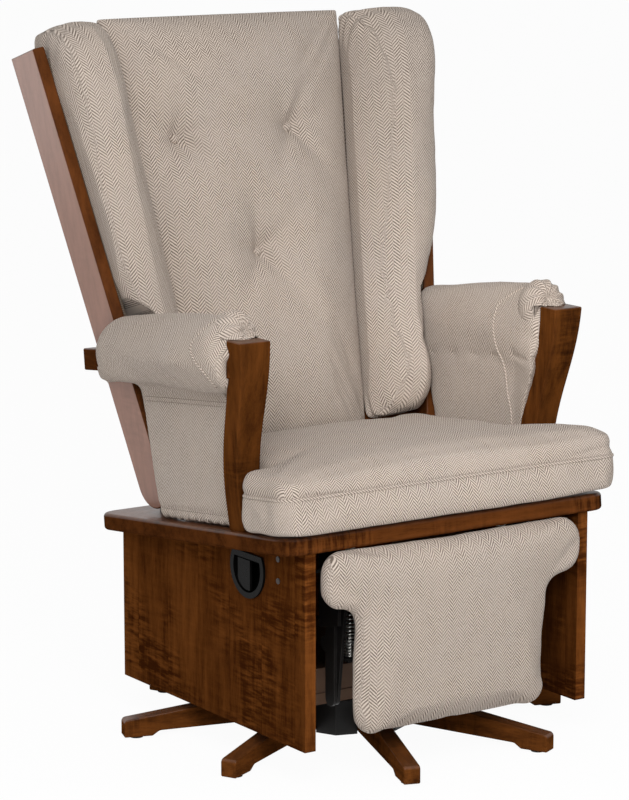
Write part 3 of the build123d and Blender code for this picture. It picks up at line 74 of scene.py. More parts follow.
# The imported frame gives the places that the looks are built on. Lengths are metres.
NODES = frame["nodes"]
JOINTS = {joint["name"]: joint for joint in frame["joints"]}
SWIVEL_Y = JOINTS["swivel_turn"]["pos_m"][1]
BACK_PIVOT_Y, BACK_PIVOT_Z = JOINTS["recline"]["pos_m"][1:]
SIDES = (("left", -1), ("right", 1))

# Back, as drawn in the frame: x across, w into the back, v up along it
BACK_LEAN = math.radians(15.91)
SEAM_FOOT_X = 0.154
SEAM_SPREAD = 0.106
CUSHION_FOOT_V = 0.052
CUSHION_HEAD_V = 0.764
CUSHION_BASE = 0.0177
SEAM_W = 0.0047
POST_FOOT_X = 0.2722
POST_SPREAD = math.tan(math.radians(9.2))
POST_THICKNESS = 0.0223
POST_FRONT_W = -0.038

# Bolsters, unlike on the left (-1) and the right (1) as photographed
# Furthest x beside the arm, and the height above which they may spread over it
BOLSTER_BESIDE_ARM_X = 0.2605
BOLSTER_ABOVE_ARM_V = 0.27
# How much further out they are filled, at heights up the back
BOLSTER_FILL_V = (0.05, 0.26, 0.36, 0.50, 0.62)
BOLSTER_FILL = (0.005, 0.005, 0.009, 0.009, 0.0)
# Overhang past the post in front, rise of the head and fall of the head's outer corner
BOLSTER_OVERHANG = {-1: 0.0, 1: 0.013}
BOLSTER_HEAD_LIFT = {-1: 0.004, 1: 0.008}
BOLSTER_HEAD_DROP = {-1: 0.020, 1: 0.004}
BOLSTER_HEAD_V = 0.60
BOLSTER_HEAD_LENGTH = 0.13
# Share of the depth at the inner seam and how far from it the depth is full
BOLSTER_SEAM_DEPTH = 0.46
BOLSTER_SLOPE_WIDTH = 0.062
# Fuller part above the foot: height, reach up and down, width and share of depth
BOLSTER_FOOT_V = 0.16
BOLSTER_FOOT_REACH = 0.09
BOLSTER_FOOT_WIDTH = 0.08
BOLSTER_FOOT_DEPTH = 0.26

# Buttons as the photograph shows them, a little lower and further left than a drawn even pattern
BUTTONS = ((-0.132, 0.558), (0.083, 0.564), (-0.015, 0.360))
BUTTON_RADIUS = 0.0088
BUTTON_HEIGHT = 0.0085
BUTTON_SINK = 0.004

# Share of the back cushion's height and how full it is there
BACK_FULLNESS = (
    (0.0, 0.85), (0.03, 1.16), (0.08, 1.26), (0.3, 1.12), (0.65, 1.06),
    (0.84, 1.04), (0.90, 0.96), (0.945, 0.80), (0.975, 0.56), (0.992, 0.30), (1.0, 0.08),
)
# Crown of the centre cushion, most swell of its cover, gap to the seams and shift of its stripes
BACK_CROWN = 0.052
BACK_SWELL = 0.008
BACK_EDGE_GAP = 0.0006
BACK_STRIPE_SHIFT = 0.0047
# How deep each button is drawn in, and how far round it
TUFT_DEPTH = 0.046
TUFT_REACH = 0.040
# Drag folds at each button: direction from +x in degrees, length and depth
BUTTON_FOLDS = (
    ((-52, 0.12, 0.0065), (82, 0.085, 0.005), (-118, 0.10, 0.004), (8, 0.09, 0.004),
     (150, 0.08, 0.003)),
    ((-56, 0.11, 0.0065), (64, 0.10, 0.0065), (-125, 0.09, 0.004), (176, 0.09, 0.004),
     (20, 0.08, 0.003)),
    ((-58, 0.13, 0.007), (98, 0.11, 0.006), (-128, 0.10, 0.004), (38, 0.09, 0.003),
     (168, 0.07, 0.003)),
)
# Width of a fold at its button, how fast it widens, how soon it is deep, and its raised banks
FOLD_WIDTH = 0.007
FOLD_SPREAD = 0.11
FOLD_START = 0.015
FOLD_BANK_HEIGHT = 0.7
FOLD_BANK_PLACE = 1.9

# Deck under the seat: height at its front edge and fall towards the back
DECK_FRONT_Y = -0.294 + SWIVEL_Y
DECK_FRONT_Z = 0.3974
DECK_FALL = math.tan(math.radians(6.26))

# Seat cushion: its welt, its ears in front of the arm posts and its rear edge
SEAT_WELT_RISE = 0.060
SEAT_WELT_RADIUS = 0.0030
SEAT_WELT_PULL = 0.0030
SEAT_EAR_X = 0.14
SEAT_EAR_LENGTH = 0.16
SEAT_RIGHT_EAR_LIFT = 0.014
SEAT_LEFT_EAR_LIFT = 0.004
SEAT_LEFT_EAR_REACH = 0.011
SEAT_REAR_Y = 0.120 + SWIVEL_Y
SEAT_REAR_LENGTH = 0.06
SEAT_REAR_LIFT = 0.010
SEAT_REAR_REACH = 0.006

# Arms: pad section, its lower edge, the panel below, and the filling round the rail in the pad
ARM_PAD_MIDDLE = 0.3045
ARM_PAD_HALF_WIDTH = 0.0425
ARM_PAD_HALF_HEIGHT = 0.056
ARM_PAD_FRONT_Y = -0.172 + SWIVEL_Y
ARM_PAD_REAR_Y = 0.226 + SWIVEL_Y
ARM_PAD_FRONT_LOW = 0.602
ARM_PAD_FALL = 0.115
ARM_PAD_HELD_Y = 0.18 + SWIVEL_Y
ARM_PANEL_OUTER_X = 0.294
ARM_RAIL_MIDDLE = 0.318
ARM_CORE_HALF_WIDTH = 0.019
ARM_CORE_RISES = (0.003, 0.062)
# Rounded rear end of each pad and the crown of its top
ARM_END_LENGTH = 0.05
ARM_END_NARROWING = 0.72
ARM_CROWN_LIFT = 0.008
ARM_CROWN_Y = ARM_PAD_FRONT_Y + 0.12
ARM_CROWN_REACH = 0.16
# Flap of cloth that runs inside each arm post, below this height and inside this x
ARM_FLAP_Z = 0.63
ARM_FLAP_X = 0.276
ARM_FLAP_FORWARD = 0.014
ARM_FLAP_INWARD = 0.011
# Seam round the front of each pad: its places at some heights, how much further forward it runs
# outside, and how much more so below a height
ARM_SEAM_HEIGHTS = (0.50, 0.573, 0.633, 0.671, 0.697, 0.714, 0.730)
ARM_SEAM_PLACES = (-0.080, -0.060, -0.046, -0.048, -0.075, -0.112, -0.140)
ARM_SEAM_OUTSIDE = -0.045
ARM_SEAM_LEAN = 1.1
ARM_SEAM_LEAN_Z = 0.66
ARM_SEAM_RADIUS = 0.0018
# Hems of the panel below each pad, as heights above the deck
ARM_HEM_RISE = 0.020
ARM_TOP_HEM_RISE = 0.196
ARM_HEM_GAP = 0.007
ARM_HEM_RADIUS = 0.0013
# Pleated end of each arm pad over its post: middle, half sizes and the way to its knot
ROSETTE_X = 0.295
ROSETTE_Y = -0.128 + SWIVEL_Y
ROSETTE_Z = 0.672
ROSETTE_SIZE = (0.036, 0.041, 0.046)
ROSETTE_KNOT = (-0.2, -0.75, 0.50)
ROSETTE_KNOT_DEPTH = 0.26
ROSETTE_KNOT_WIDTH = 0.32
ROSETTE_PLEATS = 11
ROSETTE_PLEAT_DEPTH = 0.060
POST_TOP_Z = 0.6805
POST_TOP_REAR_Y = -0.147 + SWIVEL_Y

# Braid beside each back post: its ends up the back, its gap to the post and its two cords
BRAID_ENDS_V = (0.27, 0.695)
BRAID_STAND_IN = 0.0024
BRAID_CORDS_W = (-0.0345, -0.0300)
BRAID_RADIUS = 0.0023

# Footrest cover: its shift to the left, more so in the narrow part, and how far its ends reach
FOOTREST_SHIFT = 0.005
FOOTREST_LOWER_SHIFT = 0.004
FOOTREST_TOP_REACH = 0.007
FOOTREST_FOOT_REACH = 0.004

# Covers start this far inside their solids and swell out again
COVER_INSET = 0.003
ARM_COVER_INSET = 0.0025

# Camera found from the photograph
PHOTO_HEIGHT_PX = 800
FOCAL_PX = 3124.16
SENSOR = 0.036
CAMERA_AZIMUTH = math.radians(-33.919)
CAMERA_ELEVATION = math.radians(10.503)
CAMERA_DISTANCE = 4.96086
CAMERA_TARGET = Vector((-0.06655, -0.01016 + SWIVEL_Y, 0.53997))

# Lamps: place, width and height. They look at the middle of the chair.
LAMPS = {
    "key": ((-1.35, -2.25, 2.05), 2.0, 1.8),
    "fill": ((2.6, -3.2, 2.2), 2.2, 2.2),
    "side": ((-2.2, 2.7, 0.9), 1.6, 1.7),
    "top": ((0.3, 0.2, 3.6), 2.4, 2.4),
}
LAMP_TARGET = (0.0, SWIVEL_Y, 0.55)
# Soft spot on the right arm
SPOT_PLACE = (-1.6, -2.2, 1.6)
SPOT_TARGET = (0.27, SWIVEL_Y, 0.60)
SPOT_ANGLE = math.radians(15.0)
SPOT_RADIUS = 0.25
# Floor and the share of its light that comes from itself
FLOOR_HALF_SIZE = 30.0
FLOOR_GLOW = 0.955


class FabricSettings(bpy.types.PropertyGroup):
    """Herringbone cloth."""

    stripe: FloatProperty(
        name="Stripe width", description="Width of one slanted stripe of the weave",
        default=0.0095, min=0.002, unit="LENGTH")
    pitch: FloatProperty(
        name="Line pitch", description="Distance from one twill line to the next",
        default=0.0056, min=0.001, unit="LENGTH")
    slope: FloatProperty(
        name="Line slope", description="How steep the twill lines stand", default=1.15)
    light: FloatVectorProperty(
        name="Light yarn", description="Colour of the pale yarn", subtype="COLOR", size=3,
        default=(0.640, 0.545, 0.470))
    dark: FloatVectorProperty(
        name="Dark yarn", description="Colour of the grey brown yarn", subtype="COLOR", size=3,
        default=(0.150, 0.116, 0.092))


class WoodSettings(bpy.types.PropertyGroup):
    """Stained figured maple."""

    panel_light: FloatVectorProperty(
        name="Panel light", description="Pale figure of the side panels", subtype="COLOR", size=3,
        default=(0.150, 0.048, 0.0100))
    panel_dark: FloatVectorProperty(
        name="Panel dark", description="Dark figure of the side panels", subtype="COLOR", size=3,
        default=(0.040, 0.0105, 0.0023))
    trim_light: FloatVectorProperty(
        name="Trim light", description="Pale figure of the posts and the deck", subtype="COLOR", size=3,
        default=(0.100, 0.031, 0.0075))
    trim_dark: FloatVectorProperty(
        name="Trim dark", description="Dark figure of the posts and the deck", subtype="COLOR", size=3,
        default=(0.026, 0.0077, 0.0023))
    coat: FloatProperty(
        name="Lacquer", description="How glossy the lacquer is on faces that look up", default=0.35,
        min=0.0, max=1.0, subtype="FACTOR")


class PaddingSettings(bpy.types.PropertyGroup):
    """Simulated padding."""

    voxel: FloatProperty(
        name="Cloth grain", description="Size of the cloth's faces before the last subdivision",
        default=0.0065, min=0.003, unit="LENGTH")
    pressure: FloatProperty(
        name="Pressure", description="Pressure of the filling on the cover", default=4.0, min=0.0)
    cap: FloatProperty(
        name="Most swell", description="Furthest that a point of the cover may move",
        default=0.022, min=0.0, unit="LENGTH")
    frames: IntProperty(
        name="Frames", description="Frames for which the cover swells", default=20, min=2, max=60)


class StageSettings(bpy.types.PropertyGroup):
    """Light and floor."""

    key: FloatProperty(
        name="Key light", description="Power of the large front lamp",
        default=77.0, unit="POWER")
    fill: FloatProperty(
        name="Fill light", description="Power of the lamp on the right",
        default=12.0, unit="POWER")
    top: FloatProperty(
        name="Top light", description="Power of the lamp above",
        default=4.0, unit="POWER")
    side: FloatProperty(
        name="Side light", description="Power of the low lamp behind",
        default=12.0, unit="POWER")
    spot: FloatProperty(
        name="Arm light", description="Power of the soft spot on the right arm",
        default=190.0, unit="POWER")
    ambient: FloatProperty(
        name="Ambient", description="Strength of the surrounding light",
        default=0.36)


class GliderSettings(bpy.types.PropertyGroup):
    """All settings of the glider."""

    fabric: PointerProperty(type=FabricSettings, name="Fabric", description="Herringbone cloth")
    wood: PointerProperty(type=WoodSettings, name="Wood", description="Stained wood")
    padding: PointerProperty(type=PaddingSettings, name="Padding", description="Simulated padding")
    stage: PointerProperty(type=StageSettings, name="Stage", description="Light and floor")


def settings():
    """The glider's settings on the scene."""
    return bpy.context.scene.glider


class Finish:
    """Node tree of one material, with short calls for the nodes that the finishes share."""

    def __init__(self, name):
        self.material = bpy.data.materials.new(name)
        self.material.use_nodes = True
        self.tree = self.material.node_tree
        self.surface = self.tree.nodes["Principled BSDF"]

    def node(self, kind, **choices):
        made = self.tree.nodes.new(kind)
        for key, value in choices.items():
            setattr(made, key, value)
        return made

    def feed(self, socket, value):
        if isinstance(value, bpy.types.NodeSocket):
            self.tree.links.new(value, socket)
        else:
            socket.default_value = value

    def set(self, name, value):
        self.feed(self.surface.inputs[name], value)

    def math(self, operation, *values):
        made = self.node("ShaderNodeMath", operation=operation)
        for socket, value in zip(made.inputs, values):
            self.feed(socket, value)
        return made.outputs[0]

    def parts(self, vector):
        made = self.node("ShaderNodeSeparateXYZ")
        self.feed(made.inputs[0], vector)
        return made.outputs

    def join(self, x, y, z):
        made = self.node("ShaderNodeCombineXYZ")
        for socket, value in zip(made.inputs, (x, y, z)):
            self.feed(socket, value)
        return made.outputs[0]

    def sway(self, value, share, base, middle=0.5):
        """The base, raised and lowered by a share of how far the value is from its middle."""
        return self.math("MULTIPLY_ADD", self.math("SUBTRACT", value, middle), share, base)

    def place(self):
        return self.node("ShaderNodeTexCoord").outputs["Object"]

    def noise(self, vector, scale, detail=4.0, roughness=0.55):
        made = self.node("ShaderNodeTexNoise")
        self.feed(made.inputs["Vector"], vector)
        made.inputs["Scale"].default_value = scale
        made.inputs["Detail"].default_value = detail
        made.inputs["Roughness"].default_value = roughness
        return made.outputs["Fac"]

    def span(self, value, low, high, to_low=0.0, to_high=1.0):
        made = self.node("ShaderNodeMapRange", interpolation_type="SMOOTHSTEP")
        for socket, number in zip(made.inputs, (value, low, high, to_low, to_high)):
            self.feed(socket, number)
        return made.outputs[0]

    def mix(self, share, first, second, blend="MIX"):
        made = self.node("ShaderNodeMix", data_type="RGBA", blend_type=blend)
        self.feed(made.inputs[0], share)
        for socket, value in ((made.inputs[6], first), (made.inputs[7], second)):
            if not isinstance(value, bpy.types.NodeSocket):
                value = (*value[:3], 1.0)
            self.feed(socket, value)
        return made.outputs[2]

    def bump(self, height, strength, distance):
        made = self.node("ShaderNodeBump")
        made.inputs["Strength"].default_value = strength
        made.inputs["Distance"].default_value = distance
        self.feed(made.inputs["Height"], height)
        self.set("Normal", made.outputs[0])

    def worn_edges(self, radius):
        """1 along sharp edges and 0 on flat faces."""
        bevel = self.node("ShaderNodeBevel", samples=4)
        bevel.inputs["Radius"].default_value = radius
        normal = self.node("ShaderNodeNewGeometry").outputs["Normal"]
        alike = self.node("ShaderNodeVectorMath", operation="DOT_PRODUCT")
        self.feed(alike.inputs[0], bevel.outputs[0])
        self.feed(alike.inputs[1], normal)
        return self.span(alike.outputs["Value"], 0.995, 0.90)


def made_once(make):
    """Lets a finish be made only where no material has its name yet, as some of the CAD's do."""

    def finish(name, *choices, **more):
        return bpy.data.materials.get(name) or make(name, *choices, **more)

    return finish


def scaled(colour, share):
    """A colour made darker or lighter."""
    return [share * part for part in colour]


@made_once
def herringbone(name):
    """Pale and grey brown yarn in slanted stripes that change sides."""
    choice = settings().fabric
    cloth = Finish(name)
    weave = cloth.node("ShaderNodeAttribute", attribute_name="weave").outputs["Vector"]
    across, along, _ = cloth.parts(weave)
    zigzag = cloth.math("PINGPONG", across, choice.stripe)
    stripe = cloth.math("FLOOR", cloth.math("DIVIDE", across, choice.stripe))
    slant = cloth.math("MULTIPLY_ADD", zigzag, choice.slope, along)
    line = cloth.math("DIVIDE", slant, choice.pitch)
    line = cloth.math("MULTIPLY_ADD", stripe, 0.5, line)
    place = cloth.place()
    slub = cloth.noise(place, 420.0, 3.0)
    line = cloth.math("MULTIPLY_ADD", slub, 0.35, line)
    ridge = cloth.math("PINGPONG", line, 0.5)
    yarn = cloth.span(ridge, 0.12, 0.36)
    fibre = cloth.noise(place, 1500.0, 2.0)
    faded = cloth.noise(place, 9.0, 3.0)
    patch = cloth.span(cloth.noise(place, 26.0, 2.0), 0.35, 0.7, 0.62, 1.0)
    shown = cloth.sway(yarn, patch, 0.60, 0.60)
    shown = cloth.sway(fibre, 0.55, shown)
    colour = cloth.mix(shown, choice.dark, choice.light)
    warm = cloth.mix(faded, (1.0, 0.985, 0.96), (0.93, 0.95, 0.98))
    cloth.set("Base Color", cloth.mix(1.0, colour, warm, "MULTIPLY"))
    cloth.set("Roughness", 0.92)
    cloth.set("Specular IOR Level", 0.12)
    cloth.set("Sheen Weight", 0.06)
    cloth.set("Sheen Roughness", 0.55)
    cloth.bump(cloth.math("MULTIPLY_ADD", fibre, 0.6, yarn), 0.55, 0.0007)
    return cloth.material


@made_once
def braid_cloth(name):
    """Dark twisted trim cord."""
    cord = Finish(name)
    weave = cord.node("ShaderNodeAttribute", attribute_name="weave").outputs["Vector"]
    across, along, _ = cord.parts(weave)
    twist = cord.math("DIVIDE", cord.math("MULTIPLY_ADD", across, 0.6, along), 0.0032)
    strand = cord.math("PINGPONG", twist, 0.5)
    fuzz = cord.noise(cord.place(), 1300.0, 2.0)
    share = cord.sway(fuzz, 0.5, cord.math("MULTIPLY", strand, 2.0))
    cord.set("Base Color", cord.mix(share, (0.030, 0.021, 0.014), (0.150, 0.115, 0.085)))
    cord.set("Roughness", 0.9)
    cord.set("Specular IOR Level", 0.2)
    cord.bump(strand, 0.6, 0.0008)
    return cord.material


@made_once
def stained_wood(name, grain, light, dark, gloss, figure=1.0, planks=0.0, coat=0.0, painted_front_light=1.25):
    """Stained maple: fine pores along the grain, curly figure across it, painted sheen on faces that look
    outwards, and painted light and shade that make faces lighter or darker by which way they look.
    """
    wood = Finish(name)
    x, y, z = wood.parts(wood.place())
    if grain == "radial":
        square = wood.math("MULTIPLY_ADD", x, x, wood.math("MULTIPLY", y, y))
        reach = wood.math("POWER", square, 0.5)
        turn = wood.math("ARCTAN2", y, x)
        long, wide, deep = reach, wood.math("MULTIPLY", turn, 0.3), z
    else:
        long, wide, deep = {"x": (x, y, z), "y": (y, x, z), "z": (z, y, x)}[grain]
    board = wood.math("FLOOR", wood.math("DIVIDE", wide, planks)) if planks else 0.0
    shifted = wood.math("MULTIPLY_ADD", board, 0.37, long) if planks else long
    grown, curly = [
        wood.join(wood.math("MULTIPLY", shifted, along), wood.math("MULTIPLY", wide, aside),
                  wood.math("MULTIPLY", deep, aside))
        for along, aside in ((0.9, 7.0), (9.0, 1.3))
    ]
    rings = wood.noise(grown, 9.0, 6.0, 0.6)
    pores = wood.noise(grown, 85.0, 4.0, 0.7)
    tiger = wood.noise(curly, 16.0, 4.0, 0.6)
    cloud = wood.noise(wood.join(long, wide, deep), 5.5, 2.0)
    curled = wood.sway(tiger, wood.span(cloud, 0.46, 0.60, 0.12, 1.0), 0.0)
    shade = wood.sway(rings, 0.75, 0.52)
    shade = wood.math("MULTIPLY_ADD", curled, 1.5 * figure, shade)
    shade = wood.sway(cloud, -0.35, shade)
    shade = wood.sway(pores, 0.3, shade)
    if planks:
        tint = wood.node("ShaderNodeTexWhiteNoise", noise_dimensions="1D")
        wood.feed(tint.inputs["W"], board)
        shade = wood.sway(tint.outputs["Value"], 0.20, shade)
        joint = wood.math("FRACT", wood.math("DIVIDE", wide, planks))
        shade = wood.math("SUBTRACT", shade, wood.span(joint, 0.012, 0.0, 0.0, 0.25))
    colour = wood.mix(wood.span(shade, 0.2, 0.8), dark, light)
    edge = wood.worn_edges(0.002)
    colour = wood.mix(wood.math("MULTIPLY", edge, 0.55), colour, scaled(dark, 0.45))
    normal = wood.parts(wood.node("ShaderNodeTexCoord").outputs["Normal"])
    # Painted light and shade: faces that look sideways are darkened to 0.85, and the other faces are
    # lightened or darkened by the front share, by which way each face looks
    if grain != "radial":
        painted_face_light = wood.span(wood.math("ABSOLUTE", normal[0]), 0.3, 0.9, painted_front_light, 0.85)
        colour = wood.mix(1.0, colour, wood.join(painted_face_light, painted_face_light, painted_face_light), "MULTIPLY")
    # Painted sheen: with a coat, faces that look outwards are mixed towards a pale pinkish grey, more so
    # where the figure is pale, and also carry the clear coat
    if coat:
        zinc_bloom_and_wood_sheen = wood.span(wood.math("MULTIPLY", normal[0], wood.math("SIGN", x)), 0.75, 0.95)
        painted_sheen_share = wood.span(shade, 0.2, 0.8, 0.62, 0.92)
        colour = wood.mix(wood.math("MULTIPLY", zinc_bloom_and_wood_sheen, painted_sheen_share), colour, (0.31, 0.155, 0.108))
        wood.set("Coat Weight", wood.math("MULTIPLY", zinc_bloom_and_wood_sheen, coat))
        wood.set("Coat Roughness", 0.25)
        wood.set("Coat IOR", 1.8)
    wood.set("Base Color", colour)
    wood.set("Roughness", wood.span(pores, 0.3, 0.7, 0.30, 0.46))
    wood.set("Specular IOR Level", wood.span(normal[2], 0.1, 0.9, 0.0, gloss))
    wood.bump(wood.math("MULTIPLY_ADD", tiger, 0.3, pores), 0.12, 0.0006)
    return wood.material


@made_once
def painted_metal(name, colour, rough):
    """Satin paint with a fine orange peel and rubbed edges."""
    paint = Finish(name)
    place = paint.place()
    peel = paint.noise(place, 900.0, 2.0)
    dust = paint.noise(place, 40.0, 4.0)
    shade = paint.mix(dust, scaled(colour, 0.75), scaled(colour, 1.3))
    rubbed = paint.math("MULTIPLY", paint.worn_edges(0.0012), dust)
    paint.set("Base Color", paint.mix(paint.math("MULTIPLY", rubbed, 0.5), shade, (0.16, 0.15, 0.14)))
    paint.set("Roughness", paint.span(dust, 0.2, 0.8, rough - 0.08, rough + 0.1))
    paint.set("Specular IOR Level", 0.25)
    paint.bump(peel, 0.08, 0.0003)
    return paint.material


@made_once
def plated_steel(name):
    """Zinc plate with a cloudy bloom."""
    steel = Finish(name)
    place = steel.place()
    zinc_bloom_and_wood_sheen = steel.noise(place, 130.0, 5.0)
    steel.set("Base Color", steel.mix(zinc_bloom_and_wood_sheen, (0.30, 0.29, 0.27), (0.62, 0.61, 0.58)))
    steel.set("Metallic", 1.0)
    steel.set("Roughness", steel.span(zinc_bloom_and_wood_sheen, 0.25, 0.75, 0.22, 0.42))
    steel.bump(steel.noise(place, 700.0, 2.0), 0.06, 0.0002)
    return steel.material


@made_once
def moulded_plastic(name, colour, rough):
    """Moulded plastic with a spark eroded grain."""
    plastic = Finish(name)
    place = plastic.place()
    grain = plastic.noise(place, 1100.0, 3.0)
    wiped = plastic.noise(place, 55.0, 3.0)
    plastic.set("Base Color", plastic.mix(wiped, scaled(colour, 0.7), scaled(colour, 1.35)))
    plastic.set("Roughness", plastic.span(wiped, 0.3, 0.7, rough - 0.06, rough + 0.08))
    plastic.set("Specular IOR Level", 0.05)
    plastic.bump(grain, 0.10, 0.0003)
    return plastic.material


def dress(piece, material, body=None):
    """Gives a new piece its finish and the body that it rides on."""
    piece.data.materials.clear()
    piece.data.materials.append(material)
    if body:
        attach(piece, body)
    return piece


def clothe(piece, body):
    """Covers a new piece with the chair's cloth."""
    return dress(piece, herringbone("herringbone_cloth"), body)


def finish_nodes(material, *names):
    """Gives CAD nodes their finish."""
    for name in names:
        node = NODES[name]
        node.data.materials.clear()
        node.data.materials.append(material)


def new_piece(name, mesh):
    """An object with smooth faces, linked to the scene."""
    mesh.name = name
    piece = bpy.data.objects.new(name, mesh)
    bpy.context.scene.collection.objects.link(piece)
    mesh.shade_smooth()
    return piece


def read_points(mesh, what="co"):
    """The vertices' places or normals as an array."""
    values = np.empty(len(mesh.vertices) * 3, np.float32)
    mesh.vertices.foreach_get(what, values)
    return values.reshape(-1, 3).astype(float)


def points_of(piece):
    """The places of the piece's points."""
    return read_points(piece.data)


def normals_of(piece):
    """The normals at the piece's points."""
    return read_points(piece.data, "normal")


def move(piece, places):
    """Moves the piece's points to these places."""
    piece.data.vertices.foreach_set("co", np.asarray(places, np.float32).ravel())
    piece.data.update()


def shaped(piece):
    """The piece's mesh with its modifiers applied, which are then removed."""
    graph = bpy.context.evaluated_depsgraph_get()
    mesh = bpy.data.meshes.new_from_object(piece.evaluated_get(graph))
    old = piece.data
    piece.modifiers.clear()
    piece.data = mesh
    bpy.data.meshes.remove(old)
    return piece


def smooth(piece, rounds, share=0.5):
    """Evens out the piece's surface."""
    modifier = piece.modifiers.new("even", "SMOOTH")
    modifier.factor = share
    modifier.iterations = rounds
    return shaped(piece)


def subdivide(piece):
    """One subdivision of the surface."""
    modifier = piece.modifiers.new("finer", "SUBSURF")
    modifier.levels = 1
    return shaped(piece)


def skin_of(name, nodes, core=()):
    """A piece with an even cloth grid in the shape of CAD nodes and of a block inside them."""
    joined = bmesh.new()
    for node in nodes:
        joined.from_mesh(NODES[node].data)
    if len(core):
        corners = bmesh.ops.create_cube(joined, size=2.0)["verts"]
        for vert, place in zip(sorted(corners, key=lambda vert: tuple(vert.co)), core):
            vert.co = place
    mesh = bpy.data.meshes.new(name)
    joined.to_mesh(mesh)
    joined.free()
    piece = new_piece(name, mesh)
    modifier = piece.modifiers.new("grid", "REMESH")
    modifier.mode = "VOXEL"
    modifier.voxel_size = settings().padding.voxel
    return shaped(piece)


def draw_in(piece, rounds, inset):
    """Evens a cover and draws it in. Gives the places that its points had in between."""
    smooth(piece, rounds)
    places = points_of(piece)
    push(piece, np.full(len(places), -inset))
    return places


def fill_out(piece, held, share, rounds):
    """Swells a cover where nothing holds it, by a share of the most swell, and makes it finer."""
    padding = settings().padding
    swell(piece, held, padding.cap * share, padding.pressure)
    smooth(piece, rounds)
    subdivide(piece)


def swell(piece, held, cap, pressure):
    """Blows the cover up like a filled cushion and caps how far each point moves."""
    choice = settings().padding
    scene = bpy.context.scene
    group = piece.vertex_groups.new(name="held")
    group.add([int(index) for index in np.flatnonzero(held)], 1.0, "REPLACE")
    cloth = piece.modifiers.new("swell", "CLOTH")
    for key, value in (
        ("quality", 4), ("mass", 0.25), ("tension_stiffness", 14.0), ("compression_stiffness", 14.0),
        ("shear_stiffness", 6.0), ("bending_stiffness", 0.8), ("use_pressure", True),
        ("uniform_pressure_force", pressure), ("vertex_group_mass", "held"),
    ):
        setattr(cloth.settings, key, value)
    cloth.settings.effector_weights.gravity = 0.0
    cloth.collision_settings.use_collision = False
    cloth.collision_settings.use_self_collision = False
    cloth.point_cache.frame_start = 1
    cloth.point_cache.frame_end = choice.frames
    before = points_of(piece)
    for number in range(1, choice.frames + 1):
        scene.frame_set(number)
    graph = bpy.context.evaluated_depsgraph_get()
    mesh = bpy.data.meshes.new_from_object(piece.evaluated_get(graph))
    moved = read_points(mesh) - before
    bpy.data.meshes.remove(mesh)
    piece.modifiers.clear()
    piece.vertex_groups.clear()
    scene.frame_set(1)
    length = np.linalg.norm(moved, axis=1, keepdims=True)
    moved *= np.minimum(1.0, cap / np.maximum(length, 1e-9))
    move(piece, before + moved)
    return piece


def push(piece, amount):
    """Moves each point along its normal."""
    move(piece, points_of(piece) + normals_of(piece) * amount[:, None])


def weave(piece, across, along):
    """Lays the cloth's stripes over the piece: across the stripes and along them, in metres."""
    layers = piece.data.attributes
    layer = layers.get("weave") or layers.new("weave", "FLOAT_VECTOR", "POINT")
    values = np.stack([across, along, np.zeros(len(across))], axis=1)
    layer.data.foreach_set("vector", values.astype(np.float32).ravel())


def ripple(places, scale, seed):
    """Smooth uneven waves between -1 and 1, the same on each run."""
    total = np.zeros(len(places))
    draw = np.random.default_rng(seed)
    waves = 6
    for _ in range(waves):
        way = draw.normal(size=3)
        way *= scale * draw.uniform(0.6, 1.5) / np.linalg.norm(way)
        total += np.sin(places @ way + draw.uniform(0, 2 * math.pi))
    return total / waves


def near(values, centre, reach):
    """1 at the centre, falling smoothly to 0 away from it."""
    return np.exp(-((values - centre) / reach) ** 2)


def ramp(values, start, length):
    """0 at the start, rising evenly to 1 over the length. A negative length runs downwards."""
    return np.clip((values - start) / length, 0.0, 1.0)


def distances(path):
    """How far along a line each of its points lies."""
    steps = np.linalg.norm(np.diff(path, axis=0), axis=1)
    return np.concatenate([[0.0], np.cumsum(steps)])


def ring_faces(rings, sides, closed=False):
    """Faces between each ring of points and the next, and from the last to the first when closed."""
    faces = []
    for ring in range(rings if closed else rings - 1):
        here, ahead = ring * sides, (ring + 1) % rings * sides
        for column in range(sides):
            right = (column + 1) % sides
            faces.append((here + column, here + right, ahead + right, ahead + column))
    return faces


def tube(name, path, radius, closed=False, sides=10):
    """Round cord along a line of points, with the weave laid along it."""
    path = np.asarray(path, float)
    count = len(path)
    if closed:
        ways = np.roll(path, -1, 0) - np.roll(path, 1, 0)
    else:
        ways = np.gradient(path, axis=0)
    ways /= np.linalg.norm(ways, axis=1, keepdims=True)
    steady = np.array((0.0, 0.0, 1.0)) if abs(ways[0, 2]) < 0.9 else np.array((1.0, 0.0, 0.0))
    side = steady - ways[0] * (steady @ ways[0])
    side /= np.linalg.norm(side)
    angles = 2 * math.pi * np.arange(sides) / sides
    points = []
    for place, way in zip(path, ways):
        side = side - way * (side @ way)
        side /= np.linalg.norm(side)
        other = np.cross(way, side)
        ring = np.cos(angles)[:, None] * side + np.sin(angles)[:, None] * other
        points.append(place + radius * ring)
    faces = ring_faces(count, sides, closed)
    if not closed:
        faces.append(tuple(reversed(range(sides))))
        faces.append(tuple(range((count - 1) * sides, count * sides)))
    mesh = bpy.data.meshes.new(name)
    mesh.from_pydata(np.concatenate(points).tolist(), [], faces)
    piece = new_piece(name, mesh)
    weave(piece, np.tile(angles * radius, count), np.repeat(distances(path), sides))
    return piece


def dome_angles(widest, rings, sides):
    """Slant from the dome's pole and turn round it, ring by ring."""
    slant, turn = np.meshgrid(np.linspace(0.0, widest, rings),
                              2 * math.pi * np.arange(sides) / sides, indexing="ij")
    return slant.ravel(), turn.ravel()


